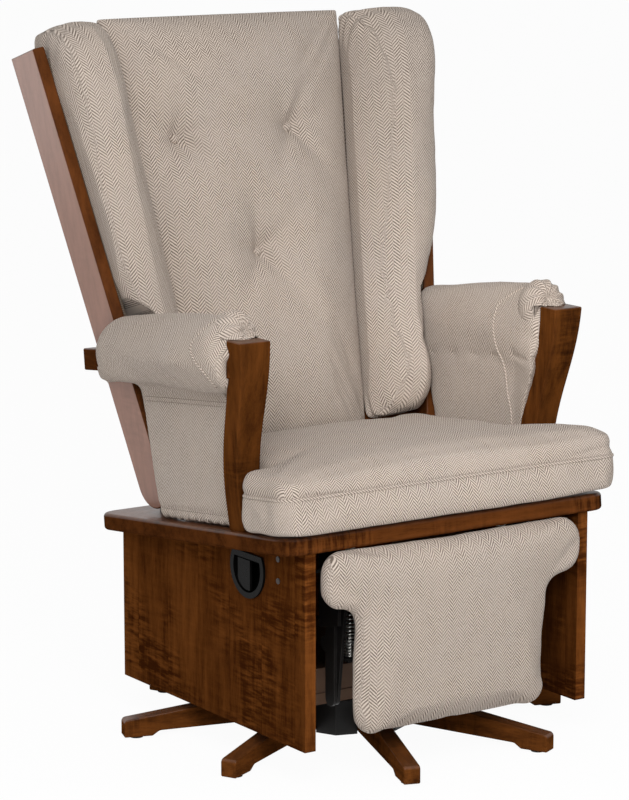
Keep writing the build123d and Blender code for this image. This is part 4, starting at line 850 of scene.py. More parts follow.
def dome(name, points, rings, sides, across, along):
    """Closed dome from rings of points, of which the first meets in one point."""
    faces = ring_faces(rings, sides)
    faces.append(tuple(range((rings - 1) * sides, rings * sides)))
    mesh = bpy.data.meshes.new(name)
    mesh.from_pydata(points.tolist(), [], faces)
    piece = new_piece(name, mesh)
    weave(piece, across, along)
    merged = bmesh.new()
    merged.from_mesh(mesh)
    bmesh.ops.remove_doubles(merged, verts=merged.verts[:], dist=1e-6)
    bmesh.ops.recalc_face_normals(merged, faces=merged.faces[:])
    merged.to_mesh(mesh)
    merged.free()
    mesh.shade_smooth()
    return piece


def contours(piece, point, normal):
    """The lines in which a plane cuts the piece, each as an array of points in order."""
    cut = bmesh.new()
    cut.from_mesh(piece.data)
    geometry = cut.verts[:] + cut.edges[:] + cut.faces[:]
    made = bmesh.ops.bisect_plane(cut, geom=geometry, plane_co=point, plane_no=normal, dist=1e-6)
    links = {}
    for edge in made["geom_cut"]:
        if isinstance(edge, bmesh.types.BMEdge):
            for one, other in (tuple(edge.verts), tuple(reversed(edge.verts))):
                links.setdefault(one, []).append(other)
    lines = []
    left = set(links)
    for start in sorted(links, key=lambda vert: tuple(round(part, 5) for part in vert.co)):
        if start not in left:
            continue
        line = [start]
        left.discard(start)
        while True:
            after = [vert for vert in links[line[-1]] if vert in left]
            if not after:
                break
            line.append(after[0])
            left.discard(after[0])
        lines.append(np.array([vert.co for vert in line]))
    cut.free()
    return sorted(lines, key=len, reverse=True)


def evened(path, step, closed, rounds=3):
    """The same line with even steps, smoothed."""
    path = np.asarray(path, float)
    ring = np.vstack([path, path[:1]]) if closed else path
    lengths = distances(ring)
    count = max(4, int(lengths[-1] / step))
    wanted = np.linspace(0.0, lengths[-1], count, endpoint=not closed)
    line = np.stack([np.interp(wanted, lengths, ring[:, axis]) for axis in range(3)], axis=1)
    for _ in range(rounds):
        middle = (np.roll(line, 1, 0) + np.roll(line, -1, 0)) / 2
        if closed:
            line = (line + middle) / 2
        else:
            line[1:-1] = (line[1:-1] + middle[1:-1]) / 2
    return line


def to_back(x, w, v):
    """Points of the leaning back: across it, into it and up along it."""
    y = BACK_PIVOT_Y + w * math.cos(BACK_LEAN) + v * math.sin(BACK_LEAN)
    z = BACK_PIVOT_Z - w * math.sin(BACK_LEAN) + v * math.cos(BACK_LEAN)
    return np.stack(np.broadcast_arrays(x, y, z), axis=-1)


def from_back(places):
    """How far points lie into the leaning back and up along it."""
    y = places[:, 1] - BACK_PIVOT_Y
    z = places[:, 2] - BACK_PIVOT_Z
    w = y * math.cos(BACK_LEAN) - z * math.sin(BACK_LEAN)
    v = y * math.sin(BACK_LEAN) + z * math.cos(BACK_LEAN)
    return w, v


def seam_x(v):
    """Half width of the centre cushion at a height up the back."""
    return SEAM_FOOT_X + SEAM_SPREAD * v


def arm_pad_low(y):
    """Height of the lower edge of the arm pads."""
    return ARM_PAD_FRONT_LOW - ARM_PAD_FALL * (y - ARM_PAD_FRONT_Y)


def deck_z(y):
    """Height of the deck's top."""
    return DECK_FRONT_Z - DECK_FALL * (y - DECK_FRONT_Y)


class PieceOperator(bpy.types.Operator):
    """Base of the operators that build one piece or one group of pieces."""

    bl_options = {"REGISTER", "UNDO"}

    def execute(self, context):
        self.build()
        return {"FINISHED"}


class GLIDER_OT_stage(PieceOperator):
    """Camera, lamps, surrounding light and floor."""

    bl_idname = "glider.stage"
    bl_label = "Stage"

    def build(self):
        scene = bpy.context.scene
        choice = settings().stage
        scene.view_settings.view_transform = "Standard"
        self.camera(scene)
        self.surroundings(scene, choice.ambient)
        self.floor()
        for name, (place, width, height) in LAMPS.items():
            self.lamp(name + "_lamp", place, width, height, getattr(choice, name))
        self.spot("arm_spot", choice.spot)

    def camera(self, scene):
        """Camera where the photograph was taken from."""
        data = bpy.data.cameras.new("photo_camera")
        data.sensor_width = SENSOR * 1000
        data.lens = FOCAL_PX * SENSOR * 1000 / PHOTO_HEIGHT_PX
        camera = bpy.data.objects.new("photo_camera", data)
        flat = math.cos(CAMERA_ELEVATION)
        back = Vector((math.sin(CAMERA_AZIMUTH) * flat, -math.cos(CAMERA_AZIMUTH) * flat,
                       math.sin(CAMERA_ELEVATION)))
        camera.location = CAMERA_TARGET + back * CAMERA_DISTANCE
        camera.rotation_euler = (-back).to_track_quat("-Z", "Y").to_euler()
        scene.collection.objects.link(camera)
        scene.camera = camera

    def surroundings(self, scene, ambient):
        """White background with softer light from all round."""
        world = bpy.data.worlds.new("studio")
        world.use_nodes = True
        scene.world = world
        tree = world.node_tree
        strength = tree.nodes.new("ShaderNodeMapRange")
        tree.links.new(self.background_rays(tree), strength.inputs[0])
        strength.inputs[3].default_value = ambient
        strength.inputs[4].default_value = 1.0
        light = tree.nodes["Background"]
        light.inputs["Color"].default_value = (1.0, 1.0, 1.0, 1.0)
        tree.links.new(strength.outputs[0], light.inputs["Strength"])

    def background_rays(self, tree):
        """1 for the rays that show the white background: to the camera, in metal and through glass."""
        path = tree.nodes.new("ShaderNodeLightPath")
        seen = path.outputs["Is Camera Ray"]
        for name in ("Is Glossy Ray", "Is Transmission Ray"):
            either = tree.nodes.new("ShaderNodeMath")
            either.operation = "MAXIMUM"
            tree.links.new(seen, either.inputs[0])
            tree.links.new(path.outputs[name], either.inputs[1])
            seen = either.outputs[0]
        return seen

    def floor(self):
        """White paper under the chair that takes its shadow."""
        corners = [(x * FLOOR_HALF_SIZE, y * FLOOR_HALF_SIZE, 0.0)
                   for x, y in ((-1, -1), (1, -1), (1, 1), (-1, 1))]
        mesh = bpy.data.meshes.new("floor")
        mesh.from_pydata(corners, [], [(0, 1, 2, 3)])
        floor = new_piece("floor", mesh)
        paper = Finish("studio_paper")
        fibre = paper.noise(paper.place(), 60.0, 3.0)
        paper.set("Base Color", paper.mix(fibre, (0.93, 0.93, 0.93), (0.95, 0.95, 0.95)))
        paper.set("Roughness", 0.9)
        glow = paper.node("ShaderNodeEmission")
        glow.inputs["Strength"].default_value = 1.0
        share = paper.math("MULTIPLY", self.background_rays(paper.tree), FLOOR_GLOW)
        blend = paper.node("ShaderNodeMixShader")
        paper.feed(blend.inputs[0], share)
        paper.feed(blend.inputs[1], paper.surface.outputs[0])
        paper.feed(blend.inputs[2], glow.outputs[0])
        paper.feed(paper.tree.nodes["Material Output"].inputs["Surface"], blend.outputs[0])
        mesh.materials.append(paper.material)

    def lamp(self, name, place, width, height, power):
        """Rectangular lamp."""
        data = bpy.data.lights.new(name, "AREA")
        data.shape = "RECTANGLE"
        data.size = width
        data.size_y = height
        data.energy = power
        self.aim(data, place, LAMP_TARGET)

    def spot(self, name, power):
        """Soft spot on the right arm."""
        data = bpy.data.lights.new(name, "SPOT")
        data.spot_size = SPOT_ANGLE
        data.spot_blend = 1.0
        data.shadow_soft_size = SPOT_RADIUS
        data.energy = power
        self.aim(data, SPOT_PLACE, SPOT_TARGET)

    def aim(self, data, place, target):
        """Hangs a lamp and turns it to its target."""
        lamp = bpy.data.objects.new(data.name, data)
        lamp.location = place
        lamp.rotation_euler = (Vector(target) - lamp.location).to_track_quat("-Z", "Y").to_euler()
        lamp.visible_camera = False
        bpy.context.scene.collection.objects.link(lamp)


class GLIDER_OT_woodwork(PieceOperator):
    """Stain and lacquer on the wooden pieces."""

    bl_idname = "glider.woodwork"
    bl_label = "Woodwork"

    def build(self):
        wood = settings().wood
        panel = (wood.panel_light, wood.panel_dark, wood.coat)
        trim = (wood.trim_light, wood.trim_dark, wood.coat)
        plain = (wood.panel_light, wood.trim_dark, wood.coat)
        inner = (wood.trim_dark, scaled(wood.trim_dark, 0.5), 0.1)
        finish_nodes(stained_wood("panel_wood", "z", *panel, planks=0.092),
                     "left_side_panel", "right_side_panel")
        finish_nodes(stained_wood("rear_panel_wood", "z", *panel, figure=0.8), "rear_panel")
        finish_nodes(stained_wood("deck_wood", "x", *trim),
                     "deck", "back_upper_rail", "back_lower_rail")
        finish_nodes(stained_wood("rail_wood", "y", *trim, figure=0.7),
                     "left_arm_rail", "right_arm_rail")
        # The posts' faces that do not look sideways are darkened, as painted shade
        finish_nodes(stained_wood("post_wood", "z", *plain, figure=0.35, painted_front_light=0.72),
                     "left_arm_post", "right_arm_post")
        # The back posts carry the painted sheen on their outer faces
        finish_nodes(stained_wood("back_post_wood", "z", *trim, figure=0.3, coat=0.6),
                     "left_back_post", "right_back_post")
        finish_nodes(stained_wood("leg_wood", "radial", *plain, figure=0.4),
                     *["leg_%d" % number for number in range(1, 9)])
        finish_nodes(stained_wood("inner_wood", "x", *inner, figure=0.4),
                     "base_board", "cross_rails", "left_upright", "right_upright",
                     "left_glide_rail", "right_glide_rail", "footrest_board")


class GLIDER_OT_metalwork(PieceOperator):
    """Paint and plate on the metal pieces."""

    bl_idname = "glider.metalwork"
    bl_label = "Metalwork"

    def build(self):
        black = painted_metal("black_paint", (0.009, 0.008, 0.0075), 0.42)
        finish_nodes(black, "base_hub", "back_pivot_brackets", "footrest_side_plates",
                     "front_glide_links", "rear_glide_links", "swivel_lower_plate",
                     "swivel_upper_plate", "footrest_arms", "footrest_links", "footrest_brackets",
                     "footrest_cross_tube")
        finish_nodes(plated_steel("zinc_plated_steel"), "hub_fasteners", "upper_glide_pins",
                     "lower_glide_pins", "back_pivot_bolts", "footrest_pivot_pins")
        finish_nodes(painted_metal("bronzed_screw", (0.03, 0.02, 0.015), 0.4), "panel_screws")


class GLIDER_OT_plastic(PieceOperator):
    """Moulded handle cup, paddle, cable sheath and foot glides."""

    bl_idname = "glider.plastic"
    bl_label = "Plastic"

    def build(self):
        finish_nodes(moulded_plastic("cup_plastic", (0.0035, 0.0033, 0.0032), 0.30), "handle_cup")
        finish_nodes(moulded_plastic("paddle_plastic", (0.004, 0.0038, 0.0037), 0.26), "release_paddle")
        finish_nodes(moulded_plastic("cable_sheath", (0.016, 0.016, 0.016), 0.45), "release_cable")
        finish_nodes(moulded_plastic("glide_plastic", (0.030, 0.026, 0.022), 0.5), "foot_glides")


class GLIDER_OT_seat_cover(PieceOperator):
    """T shaped seat cushion with its welt."""

    bl_idname = "glider.seat_cover"
    bl_label = "Seat cushion"

    def build(self):
        piece = skin_of("seat_cover", ["seat_cushion"])
        places = draw_in(piece, rounds=3, inset=COVER_INSET)
        fill_out(piece, places[:, 2] < deck_z(places[:, 1]) + 0.004, share=0.32, rounds=5)
        self.shape(piece)
        self.lay_cloth(piece)
        clothe(piece, "chair")
        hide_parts("seat_cushion")
        self.welt(piece)

    def lay_cloth(self, piece):
        """Runs the stripes back over the top and round the boxing below the welt."""
        places = points_of(piece)
        normals = normals_of(piece)
        x, y, z = places.T
        turned = ramp(np.abs(normals[:, 0]), 0.35, 0.5)
        boxing = z - deck_z(y) < SEAT_WELT_RISE
        across = np.where(boxing, x + np.sign(x) * turned * (y - y.min()), x)
        weave(piece, across, np.where(boxing, z, y + z))

    def shape(self, piece):
        """Draws the cover in along the welt and gives the top soft unevenness."""
        places = points_of(piece)
        normals = normals_of(piece)
        rise = places[:, 2] - deck_z(places[:, 1])
        amount = -SEAT_WELT_PULL * near(rise, SEAT_WELT_RISE, 0.007) * (np.abs(normals[:, 2]) < 0.85)
        amount += 0.0016 * ripple(places, scale=30.0, seed=4) * (normals[:, 2] > 0.2)
        amount += 0.0008 * ripple(places, scale=90.0, seed=5)
        push(piece, amount)
        places = points_of(piece)
        ear = ramp(places[:, 0], SEAT_EAR_X, SEAT_EAR_LENGTH)
        lift = ramp(places[:, 2] - deck_z(places[:, 1]), -0.02, 0.07)
        places[:, 2] += SEAT_RIGHT_EAR_LIFT * ear ** 2 * (3 - 2 * ear) * lift
        left = ramp(places[:, 0], -SEAT_EAR_X, -SEAT_EAR_LENGTH)
        places[:, 0] -= SEAT_LEFT_EAR_REACH * left ** 2
        places[:, 2] += SEAT_LEFT_EAR_LIFT * left ** 2 * lift
        rear = ramp(places[:, 1], SEAT_REAR_Y - SEAT_REAR_LENGTH, SEAT_REAR_LENGTH)
        places[:, 2] += SEAT_REAR_LIFT * rear ** 2 * lift
        places[:, 1] += SEAT_REAR_REACH * rear ** 2 * lift
        move(piece, places)

    def welt(self, piece):
        """Cord round the upper edge of the boxing."""
        slope = Vector((0.0, DECK_FALL, 1.0)).normalized()
        point = Vector((0.0, DECK_FRONT_Y, DECK_FRONT_Z + SEAT_WELT_RISE))
        line = evened(contours(piece, point, slope)[0], step=0.006, closed=True)
        clothe(tube("seat_welt", line, SEAT_WELT_RADIUS, closed=True), "chair")


class GLIDER_OT_back_cover(PieceOperator):
    """Tufted centre cushion of the back."""

    bl_idname = "glider.back_cover"
    bl_label = "Back cushion"

    columns = 73
    rows = 111

    def build(self):
        share = np.linspace(0.0, 1.0, self.rows)
        v = CUSHION_FOOT_V + share * (CUSHION_HEAD_V - CUSHION_FOOT_V)
        s = np.linspace(-1.0, 1.0, self.columns)
        s_grid, v_grid = np.meshgrid(s, v)
        x_grid = s_grid * (seam_x(v_grid) - BACK_EDGE_GAP)
        fullness = np.interp((v_grid - v[0]) / (v[-1] - v[0]), *zip(*BACK_FULLNESS))
        w_grid = SEAM_W - BACK_CROWN * fullness * (1 - np.abs(s_grid) ** 3.2) ** 0.62
        front = to_back(x_grid, w_grid, v_grid).reshape(-1, 3)
        rear = to_back(x_grid, np.full_like(x_grid, CUSHION_BASE), v_grid).reshape(-1, 3)
        piece = self.closed_sheet(front, rear)
        held = np.ones(2 * self.rows * self.columns, bool)
        edge = (np.abs(s_grid) > 0.985) | (v_grid < v[1]) | (v_grid > v[-2])
        held[:front.shape[0]] = edge.ravel()
        swell(piece, held, BACK_SWELL, settings().padding.pressure)
        subdivide(piece)
        self.tuft(piece)
        places = points_of(piece)
        weave(piece, places[:, 0] + BACK_STRIPE_SHIFT, from_back(places)[1])
        clothe(piece, "back")
        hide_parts("back_cushion")

    def closed_sheet(self, front, rear):
        """Front and rear grids joined round their edges."""
        rows, columns = self.rows, self.columns
        faces = []
        total = rows * columns
        for row in range(rows - 1):
            for column in range(columns - 1):
                a = row * columns + column
                quad = (a, a + 1, a + columns + 1, a + columns)
                faces.append(quad)
                faces.append(tuple(total + index for index in reversed(quad)))
        rim = list(range(columns))
        rim += [row * columns + columns - 1 for row in range(1, rows)]
        rim += [(rows - 1) * columns + column for column in range(columns - 2, -1, -1)]
        rim += [row * columns for row in range(rows - 2, 0, -1)]
        for here, after in zip(rim, rim[1:] + rim[:1]):
            faces.append((after, here, total + here, total + after))
        mesh = bpy.data.meshes.new("back_cover")
        mesh.from_pydata(np.vstack([front, rear]).tolist(), [], faces)
        return new_piece("back_cover", mesh)

    def tuft(self, piece):
        """Pulls the cover in at the buttons and draws the folds that run from them."""
        places = points_of(piece)
        w, v = from_back(places)
        x = places[:, 0]
        loose = ramp(w, SEAM_W + 0.004, -0.02)
        pull = np.zeros(len(places))
        for (button_x, button_v), folds in zip(BUTTONS, BUTTON_FOLDS):
            reach = np.hypot(x - button_x, v - button_v)
            pull += TUFT_DEPTH * np.exp(-reach / TUFT_REACH)
            for angle, length, depth in folds:
                way_x = math.cos(math.radians(angle))
                way_v = math.sin(math.radians(angle))
                ahead = (x - button_x) * way_x + (v - button_v) * way_v
                aside = (v - button_v) * way_x - (x - button_x) * way_v
                away = np.clip(ahead, 0.0, None)
                width = FOLD_WIDTH + FOLD_SPREAD * away
                fade = ramp(ahead, 0.0, FOLD_START) * np.exp(-away / length)
                banks = FOLD_BANK_HEIGHT * near(aside, FOLD_BANK_PLACE * width, width)
                pull += depth * fade * (near(aside, 0.0, width) - banks)
        top = ramp(v, CUSHION_HEAD_V - 0.10, 0.08)
        edge = ramp(np.abs(x) / seam_x(v), 0.62, 0.3)
        pucker = np.sin(v * 330.0 + 9.0 * np.abs(x)) * edge * (0.25 + top) * 0.0014
        pull += pucker + 0.0022 * ripple(places, scale=26.0, seed=11)
        pull += 0.0009 * ripple(places, scale=80.0, seed=12)
        most = np.maximum(SEAM_W + 0.006 - w, 0.0)
        step = np.minimum(pull * loose, most)
        move(piece, to_back(x, w + step, v))


class GLIDER_OT_bolsters(PieceOperator):
    """Side bolsters of the back."""

    bl_idname = "glider.bolsters"
    bl_label = "Bolsters"

    def build(self):
        for name, side in SIDES:
            node = name + "_bolster"
            piece = skin_of(name + "_bolster_cover", [node])
            draw_in(piece, rounds=4, inset=COVER_INSET)
            w, _ = from_back(points_of(piece))
            fill_out(piece, w > CUSHION_BASE - 0.006, share=0.5, rounds=2)
            self.shape(piece, node, side)
            places = points_of(piece)
            normals = normals_of(piece)
            w, v = from_back(places)
            sideways = np.abs(normals[:, 0]) > 0.72
            turn = np.where(normals[:, 0] * side > 0, 1.0, -1.0) * side
            across = np.where(sideways, turn * w, places[:, 0] - side * SEAM_SPREAD * v)
            weave(piece, across, v)
            clothe(piece, "back")
            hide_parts(node)

    def shape(self, piece, node, side):
        """Keeps the bolster off its neighbours and gathers it at its ends."""
        places = points_of(piece)
        w, v = from_back(places)
        _, span = from_back(np.array(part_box(node)))
        ends = near(v, span[0] + 0.02, 0.035) + near(v, span[1] - 0.02, 0.05)
        inner = np.clip(1 - (side * places[:, 0] - seam_x(v)) / 0.05, 0.0, 1.0)
        gather = np.sin(w * 210.0 + v * 40.0) * ends * (0.35 + inner) * 0.0022
        gather += 0.0020 * ripple(places, scale=24.0, seed=21 + side)
        gather += 0.0008 * ripple(places, scale=85.0, seed=31 + side)
        push(piece, gather)
        places = points_of(piece)
        w, v = from_back(places)
        out = side * places[:, 0]
        slope = ramp(out, seam_x(v), BOLSTER_SLOPE_WIDTH) ** 0.75
        foot = near(v, BOLSTER_FOOT_V, BOLSTER_FOOT_REACH) * ramp(out, seam_x(v), BOLSTER_FOOT_WIDTH)
        depth = BOLSTER_SEAM_DEPTH + (1 - BOLSTER_SEAM_DEPTH) * slope + BOLSTER_FOOT_DEPTH * foot
        w = CUSHION_BASE + (w - CUSHION_BASE) * depth
        inside = seam_x(v) + 0.0008
        over = BOLSTER_OVERHANG[side] * ramp(w, POST_FRONT_W - 0.003, -0.014) * ramp(v, 0.28, 0.06)
        outside = POST_FOOT_X - POST_THICKNESS + POST_SPREAD * v - 0.0012 + over
        above_arm = np.clip(v - BOLSTER_ABOVE_ARM_V, 0.0, None)
        outside = np.minimum(outside, BOLSTER_BESIDE_ARM_X + above_arm)
        outer = ramp(out, inside, np.maximum(outside - inside, 0.02))
        filled = np.interp(v, BOLSTER_FILL_V, BOLSTER_FILL)
        reach = out + (over + filled) * outer ** 2
        reach = np.clip(reach, inside, np.maximum(outside, inside))
        head = ramp(v, BOLSTER_HEAD_V, BOLSTER_HEAD_LENGTH)
        corner = np.clip(2 * outer - 1, 0.0, 1.0) ** 2
        v = v + BOLSTER_HEAD_LIFT[side] * head - BOLSTER_HEAD_DROP[side] * head * corner
        move(piece, to_back(side * reach, np.minimum(w, CUSHION_BASE), v))


class GLIDER_OT_buttons(PieceOperator):
    """Covered buttons in the tufts."""

    bl_idname = "glider.buttons"
    bl_label = "Buttons"

    def build(self):
        rings, sides = 9, 32
        cover = points_of(bpy.data.objects["back_cover"])
        cover_w, cover_v = from_back(cover)
        angle, turn = dome_angles(0.5 * math.pi, rings, sides)
        reach = BUTTON_RADIUS * np.sin(angle) * (1 + 0.02 * np.sin(7 * turn) * np.sin(angle))
        for number, (x, v) in enumerate(BUTTONS):
            close = np.hypot(cover[:, 0] - x, cover_v - v) < BUTTON_RADIUS
            seat = cover_w[close & (cover_w < CUSHION_BASE - 0.004)].min()
            across = x + reach * np.cos(turn)
            along = v + reach * np.sin(turn)
            points = to_back(across, seat + BUTTON_SINK - BUTTON_HEIGHT * np.cos(angle), along)
            piece = dome("back_button_%d" % (number + 1), points, rings, sides, across, along)
            clothe(piece, "back")
            if number == 0:
                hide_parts("back_buttons")


class GLIDER_OT_back_panel(PieceOperator):
    """Upholstered panel at the rear of the back."""

    bl_idname = "glider.back_panel"
    bl_label = "Rear of the back"

    def build(self):
        piece = skin_of("back_panel_cover", ["back_panel"])
        smooth(piece, 2)
        subdivide(piece)
        places = points_of(piece)
        push(piece, 0.0008 * ripple(places, scale=30.0, seed=41))
        places = points_of(piece)
        weave(piece, places[:, 0], from_back(places)[1])
        clothe(piece, "back")
        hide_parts("back_panel")


class GLIDER_OT_arms(PieceOperator):
    """Rolled arm pads with the panels below them, gathered over the arm posts."""

    bl_idname = "glider.arms"
    bl_label = "Arms"

    def build(self):
        for name, side in SIDES:
            nodes = [name + "_arm_pad", name + "_arm_panel"]
            piece = skin_of(name + "_arm_cover", nodes, self.core(side))
            places = draw_in(piece, rounds=4, inset=ARM_COVER_INSET)
            _, panel_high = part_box(nodes[1])
            held = (places[:, 2] < panel_high[2] - 0.015) | (places[:, 1] > ARM_PAD_HELD_Y)
            fill_out(piece, held, share=0.4, rounds=3)
            self.roll(piece, side)
            self.shape(piece, side)
            self.lay_cloth(piece, side)
            clothe(piece, "chair")
            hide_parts(*nodes)
            self.seam(piece, name, side)
            self.hems(piece, name, side)
            self.rosette(name, side)

    def core(self, side):
        """Corners of the filling where the pad runs round the arm rail."""
        corners = []
        for x in (-ARM_CORE_HALF_WIDTH, ARM_CORE_HALF_WIDTH):
            for y in (ARM_PAD_FRONT_Y + 0.032, ARM_PAD_REAR_Y - 0.022):
                for rise in ARM_CORE_RISES:
                    corners.append((side * ARM_RAIL_MIDDLE + x, y, arm_pad_low(y) + rise))
        return corners

    def seam_y(self, places, side):
        """Where the seam round the pad's front lies at a point's height and side."""
        outside = (side * places[:, 0] - ARM_PAD_MIDDLE) / ARM_PAD_HALF_WIDTH
        outside = np.clip(outside, -1.0, 1.0) / 2 + 0.5
        y = np.interp(places[:, 2], ARM_SEAM_HEIGHTS, ARM_SEAM_PLACES) + SWIVEL_Y
        below = np.clip(ARM_SEAM_LEAN_Z - places[:, 2], 0.0, 0.1)
        return y + outside * (ARM_SEAM_OUTSIDE - ARM_SEAM_LEAN * below)

    def seam(self, piece, name, side):
        """Raised seam round the front of the pad."""
        places = points_of(piece)
        straight = places.copy()
        straight[:, 1] -= self.seam_y(places, side)
        move(piece, straight)
        line = contours(piece, Vector((0.0, 0.0, ARM_SEAM_LEAN_Z)), Vector((0.0, 1.0, 0.0)))[0]
        move(piece, places)
        line[:, 1] += self.seam_y(line, side)
        shown = (side * line[:, 0] < ARM_PAD_MIDDLE) | (line[:, 2] > arm_pad_low(line[:, 1]) + 0.006)
        first = np.flatnonzero(shown & ~np.roll(shown, 1))[0]
        line, shown = np.roll(line, -first, 0), np.roll(shown, -first)
        line = evened(line[:np.argmin(shown)], step=0.004, closed=False)
        clothe(tube(name + "_arm_seam", line, ARM_SEAM_RADIUS, sides=8), "chair")

    def hems(self, piece, name, side):
        """Turned hems of the panel below the pad."""
        slope = Vector((0.0, DECK_FALL, 1.0))
        rises = (ARM_HEM_RISE, ARM_TOP_HEM_RISE, ARM_TOP_HEM_RISE - ARM_HEM_GAP)
        for number, rise in enumerate(rises):
            point = Vector((0.0, DECK_FRONT_Y, DECK_FRONT_Z + rise))
            line = contours(piece, point, slope)[0]
            line = line[side * line[:, 0] > ARM_PANEL_OUTER_X - 0.010]
            line = evened(line[np.argsort(line[:, 1])], step=0.006, closed=False)
            cord = tube("%s_arm_hem_%d" % (name, number + 1), line, ARM_HEM_RADIUS, sides=6)
            clothe(cord, "chair")

    def rosette(self, name, side):
        """Pleated end of the pad, gathered to a knot over the post."""
        rings, sides = 40, 176
        knot = Vector(ROSETTE_KNOT).normalized()
        first = Vector((0.0, 1.0, -1.0))
        first = (first - knot * first.dot(knot)).normalized()
        second = knot.cross(first)
        slant, turn = dome_angles(0.8 * math.pi, rings, sides)
        way = np.cos(slant)[:, None] * np.array(knot)
        way += (np.sin(slant) * np.cos(turn))[:, None] * np.array(first)
        way += (np.sin(slant) * np.sin(turn))[:, None] * np.array(second)
        pleat = np.sin(ROSETTE_PLEATS * turn + 0.9 * np.sin(2 * turn + side))
        pleat *= ramp(slant, 0.0, 0.4) * ramp(slant, 1.45, -0.7)
        size = 1 + ROSETTE_PLEAT_DEPTH * pleat
        size = size - ROSETTE_KNOT_DEPTH * near(slant, 0.0, ROSETTE_KNOT_WIDTH)
        points = way * np.array(ROSETTE_SIZE) * size[:, None]
        points += np.array((ROSETTE_X, ROSETTE_Y, ROSETTE_Z))
        points[:, 0] *= side
        over = points[:, 1] < POST_TOP_REAR_Y
        points[over, 2] = np.maximum(points[over, 2], POST_TOP_Z)
        piece = dome(name + "_arm_rosette", points, rings, sides, turn * 0.030, slant * 0.040)
        clothe(piece, "chair")

    def shape(self, piece, side):
        """Pulls in the hem and adds soft drag folds."""
        places = points_of(piece)
        rise = places[:, 2] - deck_z(places[:, 1])
        amount = 0.0016 * np.sin(places[:, 1] * 300.0) * np.clip(1 - rise / 0.024, 0.0, 1.0)
        amount -= 0.0022 * near(rise, ARM_HEM_RISE, 0.005)
        pad = ramp(places[:, 2], arm_pad_low(places[:, 1]), 0.02)
        amount += (0.0012 + 0.0018 * pad) * ripple(places, scale=30.0, seed=51 + side)
        amount += 0.0009 * ripple(places, scale=85.0, seed=61 + side)
        push(piece, amount)
        smooth(piece, rounds=2, share=0.4)

    def roll(self, piece, side):
        """Rounds the outer side and the rear end of the pad, tucks it in below, narrows its front."""
        places = points_of(piece)
        low = arm_pad_low(places[:, 1])
        u = (side * places[:, 0] - ARM_PAD_MIDDLE) / ARM_PAD_HALF_WIDTH
        q = (places[:, 2] - low) / ARM_PAD_HALF_HEIGHT - 1.0
        outer = (u > 0) & (q > -1.25)
        u_in = np.clip(u, 0.0, 1.05)
        q_in = np.clip(q, -1.05, 1.05)
        below = np.where(q < 0, 0.95, 0.55)
        u_round = u * (1 - below * (1 - np.sqrt(1 - q_in ** 2 / 2)))
        q_round = q * (1 - below * (1 - np.sqrt(1 - u_in ** 2 / 2)))
        end = ramp(places[:, 1], ARM_PAD_REAR_Y - ARM_END_LENGTH, ARM_END_LENGTH)
        u_round = u_round * np.sqrt(1 - ARM_END_NARROWING * end ** 2)
        swollen = u_round + 0.07 * near(q, -0.1, 0.5) * np.clip(u, 0.0, 1.0)
        rounded = side * (ARM_PAD_MIDDLE + swollen * ARM_PAD_HALF_WIDTH)
        places[:, 0] = np.where(outer, rounded, places[:, 0])
        places[:, 2] = np.where(outer, low + (q_round + 1.0) * ARM_PAD_HALF_HEIGHT, places[:, 2])
        tip = end ** 2 * ramp(q, -0.3, 0.6)
        within = side * (ARM_PAD_MIDDLE + u * (1 - 0.5 * tip) * ARM_PAD_HALF_WIDTH)
        places[:, 0] = np.where(u < 0, within, places[:, 0])
        places[:, 2] -= 0.34 * tip * np.clip(q + 0.3, 0.0, None) * ARM_PAD_HALF_HEIGHT
        self.tuck(places, q, side)
        crown = np.clip(q, 0.0, 1.0) * near(places[:, 1], ARM_CROWN_Y, ARM_CROWN_REACH)
        places[:, 2] += ARM_CROWN_LIFT * crown
        fore = ramp(places[:, 1], ROSETTE_Y + 0.016, -0.05)
        drawn = 1 - 0.6 * fore ** 2 * ramp(places[:, 2], 0.655, 0.02)
        places[:, 0] = side * (ROSETTE_X + (side * places[:, 0] - ROSETTE_X) * drawn)
        places[:, 2] -= np.clip(places[:, 2] - ROSETTE_Z, 0.0, None) * (1 - drawn)
        move(piece, places)

    def tuck(self, places, q, side):
        """Runs the cloth below the pad on to the arm post in front and to the back behind."""
        ahead = ramp(places[:, 1], ARM_PAD_FRONT_Y + 0.075, -0.03)
        places[:, 1] -= 0.010 * ahead * (q < 0.45)
        flap = ahead * ramp(side * places[:, 0], ARM_FLAP_X, -0.008)
        flap *= ramp(places[:, 2], ARM_FLAP_Z, -0.05)
        places[:, 1] -= ARM_FLAP_FORWARD * flap
        places[:, 0] -= side * ARM_FLAP_INWARD * flap
        behind = ramp(places[:, 1], ARM_PAD_REAR_Y - 0.06, 0.04)
        places[:, 1] += 0.006 * behind * (q < -0.6)

    def lay_cloth(self, piece, side):
        """Runs the stripes up the inner side, over the roll and down the outer side."""
        places = points_of(piece)
        normals = normals_of(piece)
        x, y, z = places.T
        top = arm_pad_low(y) + 2 * ARM_PAD_HALF_HEIGHT
        over = side * x + np.where(normals[:, 0] * side < 0, z, 2 * top - z)
        ends = np.abs(normals[:, 1]) > 0.75
        weave(piece, np.where(ends, x, y), np.where(ends, z, over))


class GLIDER_OT_braid(PieceOperator):
    """Double cord between each back post and its bolster."""

    bl_idname = "glider.braid"
    bl_label = "Braid"

    def build(self):
        v = np.linspace(*BRAID_ENDS_V, 90)
        inner = POST_FOOT_X - POST_THICKNESS + POST_SPREAD * v
        for name, side in SIDES:
            for number, w in enumerate(BRAID_CORDS_W):
                path = to_back(side * (inner - BRAID_STAND_IN), np.full_like(v, w), v)
                path += 0.0004 * np.sin(v * 900.0 + math.pi * number)[:, None]
                cord = tube("%s_braid_%d" % (name, number + 1), path, BRAID_RADIUS, sides=8)
                dress(cord, braid_cloth("braid_cloth"), "back")


